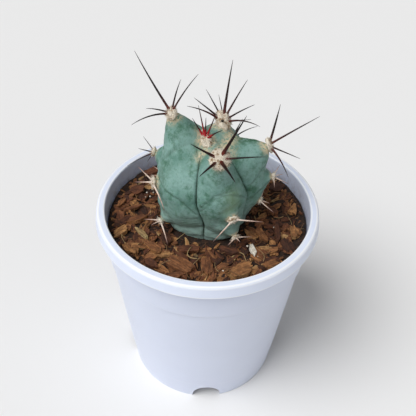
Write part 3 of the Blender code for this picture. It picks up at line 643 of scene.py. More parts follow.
def filleted(corners, steps=5):
    """A run of (radius, height, fillet, highlight) corners as (radius, height, highlight) points, with
    highlight the share of painted highlight on a corner's edge.

    A filleted corner becomes an arc, and one with a painted highlight has it fade out just past the ends of
    its arc.
    """
    run = []
    for index, (r, z, fillet, painted_highlight) in enumerate(corners):
        here = Vector((r, z))
        if not fillet or index in (0, len(corners) - 1):
            run.append((r, z, painted_highlight))
            continue
        before = Vector(corners[index - 1][:2]) - here
        after = Vector(corners[index + 1][:2]) - here
        reach = min(fillet, before.length * 0.4, after.length * 0.4)
        start = here + before.normalized() * reach
        end = here + after.normalized() * reach
        if painted_highlight:
            run.append((*(here + before.normalized() * min(reach + PAINTED_HIGHLIGHT_FADE, before.length * 0.45)), 0.0))
        for step in range(steps + 1):
            t = step / steps
            point = start * (1 - t) ** 2 + here * 2 * t * (1 - t) + end * t ** 2
            run.append((point.x, point.y, painted_highlight))
        if painted_highlight:
            run.append((*(here + after.normalized() * min(reach + PAINTED_HIGHLIGHT_FADE, after.length * 0.45)), 0.0))
    return run


def pot_corners(settings):
    """Half the pot's section, from the floor's underside out, up and back in.

    Each corner is (radius, height, fillet radius, how much painted highlight its edge gets).
    """
    height, rim = POT_HIGH.z, POT_HIGH.x
    mouth, wall, skirt = settings.mouth_radius / MM, settings.wall / MM, settings.skirt / MM
    ledge, foot, floor = settings.ledge / MM, settings.foot_radius / MM, settings.floor / MM
    under = height - skirt
    band = floor + FOOT_BAND
    deck = floor + FLOOR_THICKNESS
    slope = (mouth - 0.7 - foot) / (ledge - 0.4)
    return [
        (0.0, floor, 0, 0), (foot - wall - 1.2, floor, 0, 0), (foot - wall - 0.4, floor - 1.2, 0.5, 0),
        (foot - wall - 0.4, 0.0, 0.3, 0.5), (foot, 0.0, 0.4, 0.6),
        (foot + slope * band, band, 0.2, 0), (foot + slope * band + 0.22, band + 0.3, 0.2, 0.2),
        (mouth - 0.78, ledge - 1.3, 0.2, 0), (mouth - 1.0, ledge - 0.5, 0.1, 0),
        (mouth - 0.02, ledge - 0.1, 0.12, 0.3),
        (mouth + wall, under + 2.0, 0.4, 0), (mouth + wall + 0.2, height - 1.4, 0.5, 0),
        (rim - 2.1, height - 1.7, 0.6, 0), (rim - 1.3, under + 0.2, 0.3, 0), (rim, under, 0.28, 1.0),
        (rim - 0.75, height - 0.75, 0.35, 0.5), (rim - 1.45, height - 0.15, 0.35, 1.0),
        (mouth + 0.35, height, 0.35, 0.8), (mouth - 0.05, height - 0.6, 0.3, 0),
        (mouth - 0.1 - wall, ledge + 0.4, 0.4, 0), (mouth - 0.7 - wall, ledge - 1.0, 0.4, 0),
        (foot - wall + 1.3, floor + 4.0, 1.5, 0), (foot - wall - 1.2, deck, 1.0, 0), (0.0, deck, 0, 0),
    ]


def lathe(run, segments):
    """A closed section of (radius, height, painted highlight) turned about Z, ends on the axis: points,
    faces, painted highlight.
    """
    points = [(0.0, 0.0, run[0][1])]
    painted_highlights = [0.0]
    inner = run[1:-1]
    for r, z, painted_highlight in inner:
        for k in range(segments):
            turn = math.tau * k / segments
            points.append((r * math.cos(turn), r * math.sin(turn), z))
            painted_highlights.append(painted_highlight)
    points.append((0.0, 0.0, run[-1][1]))
    painted_highlights.append(0.0)
    return points, capped_faces(len(inner), segments), painted_highlights


def arch_cutter(settings, azimuth):
    """A round-topped slot through the foot ring."""
    half, height = settings.arch_width / MM / 2, settings.arch_height / MM
    outline = [(-half - 0.3, -1.0), (half + 0.3, -1.0)]
    for step in range(ARCH_STEPS + 1):
        turn = math.pi * step / ARCH_STEPS
        outline.append((half * math.cos(turn), ARCH_FOOT + (height - ARCH_FOOT) * math.sin(turn)))
    bm = bmesh.new()
    face = bm.faces.new([bm.verts.new((x * MM, ARCH_START * MM, z * MM)) for x, z in outline])
    grown = bmesh.ops.extrude_face_region(bm, geom=[face])["geom"]
    moved = [v for v in grown if isinstance(v, bmesh.types.BMVert)]
    bmesh.ops.translate(bm, vec=(0, ARCH_REACH * MM, 0), verts=moved)
    spin = Matrix.Rotation(math.radians(azimuth), 3, "Z")
    bmesh.ops.rotate(bm, cent=(0, 0, 0), matrix=spin, verts=bm.verts)
    return cutter_object(bm)


def drain_cutter(settings, radius, x, y):
    """An upright round pin through the pot's floor."""
    bm = bmesh.new()
    middle = Matrix.Translation((x * MM, y * MM, settings.floor + FLOOR_THICKNESS / 2 * MM))
    bmesh.ops.create_cone(bm, cap_ends=True, segments=32, radius1=radius * MM, radius2=radius * MM,
                          depth=6.0 * MM, matrix=middle)
    return cutter_object(bm)


def cutter_object(bm):
    bmesh.ops.recalc_face_normals(bm, faces=bm.faces)
    mesh = bpy.data.meshes.new("cutter")
    bm.to_mesh(mesh)
    bm.free()
    obj = bpy.data.objects.new("cutter", mesh)
    bpy.context.scene.collection.objects.link(obj)
    return obj


def cut_away(obj, cutters):
    """Cuts the cutters out of an object for good, and removes them."""
    for cutter in cutters:
        modifier = obj.modifiers.new("cut", "BOOLEAN")
        modifier.operation = "DIFFERENCE"
        modifier.solver = "EXACT"
        modifier.object = cutter
    mesh = bpy.data.meshes.new_from_object(obj.evaluated_get(bpy.context.evaluated_depsgraph_get()))
    obj.modifiers.clear()
    obj.data = mesh
    for cutter in cutters:
        bpy.data.objects.remove(cutter)


class CACTUS_OT_pot(bpy.types.Operator):
    """Mould the pot with its rolled rim, skirt, ledge, drain arches and drained floor"""

    bl_idname = "cactus.pot"
    bl_label = "Pot"

    def execute(self, context):
        settings = context.scene.cactus_pot
        points, faces, painted_highlights = lathe(filleted(pot_corners(settings)), settings.segments)
        pot = mesh_piece("moulded_pot", points, faces, polypropylene(settings), {"painted_highlight": painted_highlights})
        front = math.degrees(settings.arch_turn)
        cutters = [arch_cutter(settings, front + quarter * 90) for quarter in range(4)]
        cutters.append(drain_cutter(settings, MIDDLE_DRAIN, 0.0, 0.0))
        for index in range(DRAINS_ROUND):
            spot = direction((index + 0.5) * 360 / DRAINS_ROUND, 0) * DRAIN_CIRCLE
            cutters.append(drain_cutter(settings, ROUND_DRAIN, spot.x, spot.y))
        cut_away(pot, cutters)
        break_shading(pot, POT_EDGE_DEGREES)
        place(pot, "white_plastic", "pot")
        return {"FINISHED"}


# ---------------------------------------------------------------- stem
def eased(table, values):
    """The values of a table of (angle, value) rows at many angles, eased from row to row."""
    angles, levels = np.array(table, dtype=float).T
    index = np.clip(np.searchsorted(angles, values, side="left") - 1, 0, len(angles) - 2)
    share = np.clip((values - angles[index]) / (angles[index + 1] - angles[index]), 0.0, 1.0)
    share = share * share * (3 - 2 * share)
    return levels[index] + (levels[index + 1] - levels[index]) * share


def polar_of(spot):
    """(azimuth, polar angle, distance) of an areole row, seen from the stem's core."""
    azimuth, reach, height = spot[:3]
    rise = SOIL_LEVEL + height - STEM_CORE.z
    return azimuth, math.degrees(math.atan2(reach, rise)), math.hypot(reach, rise)


def place_of(spot):
    azimuth, reach, height = spot[:3]
    return Vector((STEM_CORE.x, STEM_CORE.y, SOIL_LEVEL + height)) + direction(azimuth, 0) * reach


def crest_azimuth(rib, polar):
    """Where a rib's crest runs at each polar angle: straight from areole to areole."""
    spots = [polar_of(spot) for spot in rib.values()]
    turns = np.unwrap([spot[0] for spot in spots], period=360.0)
    return np.interp(polar, [spot[1] for spot in spots], turns)


def rib_gaps(polar):
    """For each rib: its crest's azimuth, the turn to the next crest, and the furrow's share of it."""
    crests = [crest_azimuth(rib, polar) for rib in RIBS.values()]
    return [(crest, (following - crest) % 360.0, np.interp(polar, FURROW_ANGLES, shares))
            for crest, following, shares in zip(crests, crests[1:] + crests[:1], FURROWS.values())]


def ribbed_radius(azimuth, polar):
    """The stem's radius with its ribs, and how far each point is round from the nearest furrow."""
    lobe = np.ones_like(polar)
    from_furrow = np.full_like(polar, 180.0)
    for crest, gap, share in rib_gaps(polar):
        past = (azimuth - crest) % 360.0
        near = past < gap * share
        across = np.where(near, past / (gap * share), (gap - past) / (gap * (1 - share)))
        inside = past <= gap
        lobe = np.where(inside, 1.0 - np.clip(across, 0, 1) ** LOBE_POWER, lobe)
        from_furrow = np.where(inside, np.abs(past - gap * share), from_furrow)
    return eased(FURROW_PROFILE, polar) + eased(RIB_PROFILE, polar) * lobe, from_furrow


def stem_grid(around, rows):
    """Azimuths and polar angles of a grid whose columns follow the furrows and crowd beside them."""
    polar = np.arange(1, rows) * 180.0 / rows
    furrows = [crest + gap * share for crest, gap, share in rib_gaps(polar)]
    steps = np.arange(around // len(furrows)) * len(furrows) / around
    packed = steps - 0.125 * np.sin(math.tau * steps)
    bands = [furrow[:, None] + ((following - furrow) % 360.0)[:, None] * packed
             for furrow, following in zip(furrows, furrows[1:] + furrows[:1])]
    azimuth = np.concatenate(bands, axis=1)
    return azimuth, np.repeat(polar[:, None], azimuth.shape[1], axis=1)


def turn_from(azimuth, start):
    """The turn in degrees from one azimuth to others, between -180 and 180."""
    return (azimuth - start + 180.0) % 360.0 - 180.0


def distance_to(points, spot):
    """The distance from each point to an areole's place."""
    return np.linalg.norm(points - np.array(place_of(spot)), axis=1)


def stem_radius(azimuth, polar):
    """The stem's radius from its core, with ribs and tubercles, and the turn to the nearest furrow."""
    ribbed, from_furrow = ribbed_radius(azimuth, polar)
    total = np.zeros_like(polar)
    for rib in RIBS.values():
        for spot in rib.values():
            peak_azimuth, peak_polar, distance = polar_of(spot)
            height = distance - ribbed_radius(np.array([peak_azimuth]), np.array([peak_polar]))[0][0]
            turn = turn_from(azimuth, peak_azimuth)
            across = distance * np.sin(np.radians((polar + peak_polar) / 2)) * np.radians(turn)
            along = distance * np.radians(polar - peak_polar)
            reach = np.where(along > 0, BUMP_BELOW, BUMP_ABOVE)
            far = ((across / BUMP_ACROSS) ** 2 + (along / reach) ** 2) / spot[3] ** 2
            total += (max(height, 0.0) * np.exp(-far ** BUMP_SHARPNESS)) ** BUMP_MIX
    swollen = np.zeros_like(polar)
    for swell_azimuth, swell_polar, height, half in SWELLS:
        facing = (np.sin(np.radians(polar)) * math.sin(math.radians(swell_polar))
                  * np.cos(np.radians(azimuth - swell_azimuth))
                  + np.cos(np.radians(polar)) * math.cos(math.radians(swell_polar)))
        away = np.arccos(np.clip(facing, -1, 1)) * eased(FURROW_PROFILE, polar)
        swollen += height * np.exp(-(away / half) ** 2)
    return ribbed + swollen + total ** (1.0 / BUMP_MIX), from_furrow


def fold_distance(azimuth, polar, radius):
    """The distance in millimetres from each point to the nearest fold, and + above or - below it."""
    nearest = np.full_like(radius, 99.0)
    above = np.zeros_like(radius)
    for fold in FOLDS:
        for (a0, p0), (a1, p1) in zip(fold, fold[1:]):
            scale = radius * math.radians(1.0)
            squeeze = np.sin(np.radians(polar)) * scale
            turn = turn_from(azimuth, a0)
            x, y = turn * squeeze, (polar - p0) * scale
            dx, dy = (a1 - a0) * squeeze, (p1 - p0) * scale
            share = np.clip((x * dx + y * dy) / (dx * dx + dy * dy), 0, 1)
            away = np.hypot(x - share * dx, y - share * dy)
            side = np.sign(dx * y - dy * x)
            closer = away < nearest
            nearest = np.where(closer, away, nearest)
            above = np.where(closer, -side, above)
    return nearest, above


def run_distance(points, run):
    """The distance from each point to a run of straight pieces."""
    nearest = np.full(len(points), 999.0)
    for start, end in zip(run, run[1:]):
        piece = end - start
        share = np.clip((points - start) @ piece / (piece @ piece), 0, 1)
        nearest = np.minimum(nearest, np.linalg.norm(points - start - share[:, None] * piece, axis=1))
    return nearest


def fractal(points, millimetres, octaves, seed):
    """Smooth noise from -1 to 1 at many points."""
    shift = Vector((seed * 17.3, seed * 5.1, seed * 9.7))
    return np.array([noise.fractal(Vector(p) / millimetres + shift, 0.9, 2.0, octaves) for p in points])


def stem_faces(rows, columns):
    """Faces of the stem's grid, closed by a top and a bottom point that come after the grid's own."""
    faces = []
    for row in range(rows - 1):
        for k in range(columns):
            n = (k + 1) % columns
            up, down = row * columns, (row + 1) * columns
            faces.append((up + k, down + k, down + n, up + n))
    top, bottom = rows * columns, rows * columns + 1
    last = top - columns
    for k in range(columns):
        n = (k + 1) % columns
        faces.append((top, k, n))
        faces.append((bottom, last + n, last + k))
    return faces


# How far a furrow is open at each polar angle, from 0 for shut to 1 for a deep crease.
FURROW_OPENING = ((0, 0.0), (20, 0.0), (36, 0.55), (70, 0.7), (105, 1.0), (134, 1.0), (150, 0.3), (180, 0.0))
FOLD_WIDTH = 0.42
# Half width of the painted shade along each furrow's crease.
FURROW_SHADE_WIDTH = 0.30
# Areoles under this height are old: the skin is pinched in a ring round each of them.
OLD_BELOW = 30.0
PINCH_REACH, PINCH_WIDTH, PINCH_DEPTH = 5.0, 2.4, 0.8
# Wrinkles start at this polar angle and are whole after this many degrees more.
WRINKLE_START, WRINKLE_FADE, WRINKLE_HEIGHT = 100.0, 26.0, 0.09
# The skin is painted paler at the soil, less so up to this height: partly grey aged skin, partly painted
# light that lifts the shaded foot.
PALE_FOOT_HEIGHT = 22.0


class CACTUS_OT_stem(bpy.types.Operator):
    """Grow the stem with its ribs, tubercles, creased furrows, folds and wrinkled foot"""

    bl_idname = "cactus.stem"
    bl_label = "Stem"

    def execute(self, context):
        settings = context.scene.cactus_stem
        rows = settings.down
        spots = [spot for rib in RIBS.values() for spot in rib.values()]
        azimuth, polar = stem_grid(settings.around, rows)
        columns = azimuth.shape[1]
        azimuth, polar = azimuth.ravel(), polar.ravel()
        radius, from_furrow = stem_radius(azimuth, polar)
        a, p = np.radians(azimuth), np.radians(polar)
        ways = np.stack([np.sin(a) * np.sin(p), -np.cos(a) * np.sin(p), np.cos(p)], axis=1)
        core = np.array(STEM_CORE)
        points = core + ways * radius[:, None]

        furrow_away = np.radians(from_furrow) * radius * np.sin(p)
        open_furrow = eased(FURROW_OPENING, polar)
        wander = fractal(points, 5.0, 3, 1) * 0.16
        away = np.abs(furrow_away + wander) / (settings.furrow_width / MM)
        crease = np.exp(-away ** 1.5) * open_furrow
        roll = np.exp(-((away - 3.2) / 2.0) ** 2) * open_furrow
        fold_away, above = fold_distance(azimuth, polar, radius)
        fold_away = np.abs(fold_away + fractal(points, 7.0, 2, 2) * 0.3)
        fold = np.exp(-(fold_away / FOLD_WIDTH) ** 1.5)
        lap = np.exp(-((fold_away - 1.2) / 1.1) ** 2) * np.where(above > 0, 1.0, 0.2)
        lumps = fractal(points, 11.0, 3, 3) * 0.45 + fractal(points, 3.0, 3, 4) * 0.12
        foot = np.clip((polar - WRINKLE_START) / WRINKLE_FADE, 0, 1)
        wrinkle = np.sin(np.radians(polar) * 74 + fractal(points, 9.0, 2, 5) * 6.0)
        pinch = np.zeros_like(radius)
        for spot in spots:
            if spot[2] < OLD_BELOW:
                ring = np.exp(-((distance_to(points, spot) - PINCH_REACH) / PINCH_WIDTH) ** 2)
                pinch = np.maximum(pinch, ring)
        radius = (radius - crease * settings.furrow_depth / MM + roll * 0.12 - pinch * PINCH_DEPTH
                  + (lap * 0.34 - fold) * settings.fold_depth / MM
                  + lumps * np.clip(polar / 25.0, 0, 1) + wrinkle * foot * WRINKLE_HEIGHT)
        points = core + ways * radius[:, None]

        tints = {label: np.zeros_like(radius) for label in ("cork", "yellowing", "rub")}
        for spot in (*spots, APEX_AREOLE):
            size = max(spot[5][:2])
            outside = np.maximum(distance_to(points, spot) - size * 0.40, 0)
            ring = np.exp(-(outside / (size * 0.20)) ** 2)
            tints["cork"] = np.maximum(tints["cork"], ring)
        axis = np.array((STEM_CORE.x, STEM_CORE.y, SOIL_LEVEL))
        for label, half, strength, run in STAINS:
            away = run_distance(points - axis, np.array(run, dtype=float))
            tints[label] = np.maximum(tints[label], strength * np.exp(-(away / half) ** 2.2))
        height = points[:, 2] - SOIL_LEVEL
        # Painted shade along the furrows' creases.
        tints["furrow"] = (np.exp(-(np.abs(furrow_away + wander) / FURROW_SHADE_WIDTH) ** 1.6)
                           * np.clip(open_furrow * 1.3, 0, 1))
        # Painted shade in the folds between tubercles.
        tints["fold"] = fold * 0.45
        # Partly aged skin and partly painted light: the foot is paler towards the soil.
        tints["aged_foot_and_painted_light"] = np.clip(1.0 - height / PALE_FOOT_HEIGHT, 0, 1) ** 1.3 * 0.75
        ends = (core + np.array((0, 0, radius[:columns].mean())),
                core - np.array((0, 0, radius[-columns:].mean())))
        points = np.vstack([points, *ends])
        tints = {label: np.append(values, [values[:columns].mean(), 0.0]) for label, values in tints.items()}
        stem = mesh_piece("ribbed_stem", points, stem_faces(rows - 1, columns), cactus_skin(settings), tints)
        place(stem, "cactus_skin", "stem")
        return {"FINISHED"}


# ---------------------------------------------------------------- areoles
def pad_frame(facing):
    """A rotation that takes +Z to the way the wool faces and +Y up the rib."""
    normal = direction(*facing)
    up = (Vector((0, 0, 1)) - normal * normal.z).normalized()
    return Matrix((up.cross(normal), up, normal)).transposed()


def add_wool(heap, middle, turn, size, strands, draw):
    """A felted pad of wool with loose hairs standing out of it."""
    length, width, thickness = size
    rings, sectors = 9, 26
    points, tones = [], []
    for ring in range(1, rings):
        rise = math.pi * ring / rings
        for sector in range(sectors):
            around = math.tau * sector / sectors
            local = Vector((width / 2 * math.sin(rise) * math.cos(around),
                            length / 2 * math.sin(rise) * math.sin(around), thickness / 2 * math.cos(rise)))
            spot = middle + local
            ragged = 1.0 + 0.26 * noise.noise(spot * 0.7) + 0.14 * noise.noise(spot * 2.7)
            points.append(middle + turn @ (local * ragged))
            tones.append(0.10 + 0.7 * max(0.0, noise.noise(spot * 1.1)))
    faces = []
    for ring in range(rings - 2):
        for k in range(sectors):
            n = (k + 1) % sectors
            up, down = ring * sectors, (ring + 1) * sectors
            faces.append((up + k, down + k, down + n, up + n))
    for end, rise, row in ((len(points), 1, 0), (len(points) + 1, -1, rings - 2)):
        points.append(middle + turn @ Vector((0, 0, thickness / 2 * rise)))
        tones.append(0.1)
        for k in range(sectors):
            n = (k + 1) % sectors
            corner = (end, row * sectors + k, row * sectors + n)
            faces.append(corner if rise > 0 else corner[::-1])
    heap.add(points, faces, tone=tones)
    for _ in range(int(strands * length * width * math.pi / 4)):
        around, rise = draw.uniform(0, math.tau), math.acos(1 - draw.random() * 1.05)
        unit = Vector((math.sin(rise) * math.cos(around), math.sin(rise) * math.sin(around), math.cos(rise)))
        root = Vector((width / 2 * unit.x, length / 2 * unit.y, thickness / 2 * unit.z)) * 0.93
        stray = Vector((draw.gauss(0, 0.5), draw.gauss(0, 0.5), draw.gauss(0.1, 0.3)))
        way = (unit * 0.8 + stray).normalized()
        curl = Vector((draw.gauss(0, 1), draw.gauss(0, 1), draw.gauss(0, 1))).cross(way) * 0.22
        reach = draw.uniform(0.45, 1.3)
        path = [middle + turn @ (root + way * reach * t + curl * reach * t * t)
                for t in (0.0, 0.34, 0.67, 1.0)]
        thick = draw.uniform(0.05, 0.085)
        tone = draw.uniform(0.0, 0.35)
        add_tube(heap, path, (thick, thick, thick * 0.8, thick * 0.3), 3, tone=[tone] * 4)


def add_spine(heap, root, spine, swollen, settings, draw):
    """One tapered, faintly bowed spine whose base is swollen by a share of its width."""
    azimuth, elevation, length, diameter, bow = spine
    way = direction(azimuth, elevation)
    rise = (Vector((0, 0, 1)) - way * way.z).normalized()
    sway = way.cross(rise) * draw.uniform(-0.015, 0.015)
    tip = settings.tip / MM
    shares = [step / (settings.stations - 1) for step in range(settings.stations)]
    path, radii = [], []
    for share in shares:
        bend = 4 * share * (1 - share)
        path.append(root + way * length * share + (rise * bow + sway) * length * bend)
        swell = 1.0 + swollen * math.exp(-(share * length / (0.7 + 2.0 * swollen)) ** 2)
        radii.append((tip + (diameter / 2 - tip) * (1 - share) ** 0.8) * swell)
    warmth = draw.uniform(0.0, 0.5) * (1.0 if diameter == 1.0 else 0.35)
    fade = [warmth * (1 - share) for share in shares]
    add_tube(heap, path, radii, settings.sides, along=shares, warmth=fade)


class CACTUS_OT_areoles(bpy.types.Operator):
    """Set each areole's wool and spines on its tubercle"""

    bl_idname = "cactus.areoles"
    bl_label = "Areoles"

    def execute(self, context):
        settings = context.scene.cactus_spines
        draw = random.Random(21)
        wool = wool_felt(settings)
        horn = {
            "young": spine_horn("young_red_horn", ((0.0, "#b01f28"), (0.28, "#94181f"), (0.46, "#2a0d0e"),
                                                   (1.0, "#241818")), "#c4252c"),
            "dark": spine_horn("mature_dark_horn", ((0.0, "#7a3020"), (0.12, "#3d150e"), (0.32, "#100707"),
                                                    (0.80, "#15100f"), (1.0, "#2f2a29")), "#702c20"),
            "old": spine_horn("weathered_pale_horn", ((0.0, "#efe0d4"), (0.45, "#e2c8b8"), (0.8, "#b7958a"),
                                                      (1.0, "#7d625c")), "#f0e2d6"),
        }
        spots = {name: spot for rib in RIBS.values() for name, spot in rib.items()}
        spots["areole_apex"] = APEX_AREOLE
        for name, spot in spots.items():
            kind = "young" if name == "areole_apex" else "dark" if name in DARK_SPINED else "old"
            facing, (length, width, thickness) = spot[4], spot[5]
            normal = direction(*facing)
            middle = place_of(spot) + normal * 0.5
            turn = pad_frame(facing)
            felt, needles = Heap(), Heap()
            density = settings.wool_strands if kind != "old" else settings.wool_strands * 0.6
            add_wool(felt, middle, turn, spot[5], density, draw)
            for spine in SPINES[name]:
                way = direction(*spine[:2])
                sideways = way - normal * way.dot(normal)
                root = middle + sideways * min(width, length) * 0.25 + normal * thickness * 0.16
                add_spine(needles, root, spine, 0.75 if kind == "young" else 0.22, settings, draw)
            label = name.removeprefix("areole_")
            place(felt.piece(f"wool_{label}", wool), "areole_wool", name)
            place(needles.piece(f"spines_{label}", horn[kind]), "spines", name)
        return {"FINISHED"}


# ---------------------------------------------------------------- potting mix
FINES_COLUMNS = 120
FINES_RINGS = 48
FINES_INNER_RING = 4
FINES_EDGE = 89.0
BARK_EDGE_DEGREES = 48
# How finely a named chip is cut: rings, sectors, the height of its ridges and how ragged its edge is.
BARK_CUT = {"rings": 9, "sectors": 42, "ridges": 0.34, "raggedness": 0.32}
MINERAL_CUT = {"rings": 4, "sectors": 24, "ridges": 0.1, "raggedness": 0.08}


def plate_edge(length, width, sectors, draw, raggedness):
    """The edge of a broken plate: straight runs between uneven corners."""
    square = draw.uniform(2.2, 5.0) if raggedness > 0.2 else 9.0
    count = min(sectors, draw.randint(5, 8))
    corners = []
    for k in range(count):
        turn = math.tau * (k + draw.uniform(-0.42, 0.42)) / count
        c, s = math.cos(turn), math.sin(turn)
        reach = (abs(c) ** square + abs(s) ** square) ** (-1 / square) * draw.uniform(1.04 - raggedness, 1.04)
        corners.append(Vector((length / 2 * c * reach, width / 2 * s * reach)))
    edge = []
    for k in range(sectors):
        along = k * count / sectors
        start = int(along)
        edge.append(corners[start].lerp(corners[(start + 1) % count], along - start))
    return edge


def chip_shape(size, rings, sectors, draw, ridges, raggedness):
    """A plate of bark round its middle: broken edges, split layers and ridges along its grain."""
    length, width, thickness = size
    edge = plate_edge(length, width, sectors, draw, raggedness)
    shift = Vector((draw.uniform(-50, 50), draw.uniform(-50, 50), draw.uniform(-50, 50)))
    splinter = min(0.8, width * 0.12) if rings > 1 else 0.0
    points, edges = [], []
    for side in (1, -1):
        points.append(Vector((0, 0, side * thickness / 2)))
        edges.append(0.0)
        for ring in range(1, rings + 1):
            share = (ring / rings) ** 0.8
            for spot in edge:
                x, y = spot.x * share, spot.y * share
                x += splinter * share * 2.0 * noise.noise(Vector((0.0, y * 2.4, side * 0.7)) + shift)
                grain = noise.noise(Vector((x * 0.22, y * 1.5, side)) + shift)
                layer = math.floor(noise.noise(Vector((x * 0.16, y * 0.34, side * 3.0)) + shift) * 3.2) * 0.45
                crown = thickness / 2 * (1 - 0.12 * share ** 6) + (grain + layer * 1.1) * ridges
                points.append(Vector((x, y, side * crown)))
                edges.append(share ** 6 if ring == rings else 0.0)
    faces = []
    half = 1 + rings * sectors
    for side, start in ((1, 0), (-1, half)):
        for k in range(sectors):
            n = (k + 1) % sectors
            strips = [(start, start + 1 + k, start + 1 + n)]
            for ring in range(rings - 1):
                a = start + 1 + ring * sectors
                strips.append((a + k, a + sectors + k, a + sectors + n, a + n))
            faces.extend(strip if side > 0 else strip[::-1] for strip in strips)
    rim = 1 + (rings - 1) * sectors
    for k in range(sectors):
        n = (k + 1) % sectors
        faces.append((rim + n, rim + k, half + rim + k, half + rim + n))
    return points, faces, edges


def add_chip(heap, place_, turn, size, tone, draw, rings=1, sectors=7, ridges=0.12, raggedness=0.32):
    points, faces, edges = chip_shape(size, rings, sectors, draw, ridges, raggedness)
    offset = Vector((draw.uniform(0, 90), draw.uniform(0, 90), draw.uniform(0, 90)))
    pale = draw.uniform(-0.05, 0.22)
    heap.add([place_ + turn @ point for point in points], faces, tone=[tone + pale * edge for edge in edges],
             grain=[tuple(point + offset) for point in points])


def long_axis(node):
    """The middle, the long, short and flat sizes and the turn of a CAD chip that lies flat."""
    corners = np.array([tuple(v.co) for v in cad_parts[node].data.vertices]) / MM
    low, high = corners[:, 2].min(), corners[:, 2].max()
    flat = corners[:, :2]
    middle = (flat.min(axis=0) + flat.max(axis=0)) / 2
    ways = np.linalg.svd(flat - flat.mean(axis=0), full_matrices=False)[2]
    spread = (flat - middle) @ ways.T
    length, width = spread.max(axis=0) - spread.min(axis=0)
    turn = math.atan2(ways[0][1], ways[0][0])
    return Vector((*middle, (low + high) / 2)), (length, width, high - low), turn


def tumbled(draw, roll, pitch):
    """A turn to any side, with a random roll and pitch of about these sizes in radians."""
    return (Matrix.Rotation(draw.uniform(0, math.tau), 3, "Z")
            @ Matrix.Rotation(draw.gauss(0, roll), 3, "X")
            @ Matrix.Rotation(draw.gauss(0, pitch), 3, "Y"))


def mix_level(x, y):
    """The height of the fines at a place: crumbly, and a little higher round the wall."""
    reach = math.hypot(x, y)
    bank = 0.9 * max(0.0, (reach - 36.0) / 8.0)
    return 89.6 + bank + 0.7 * noise.noise(Vector((x * 0.16, y * 0.16, 3.0))) + 0.5 * noise.noise(
        Vector((x * 0.6, y * 0.6, 9.0)))


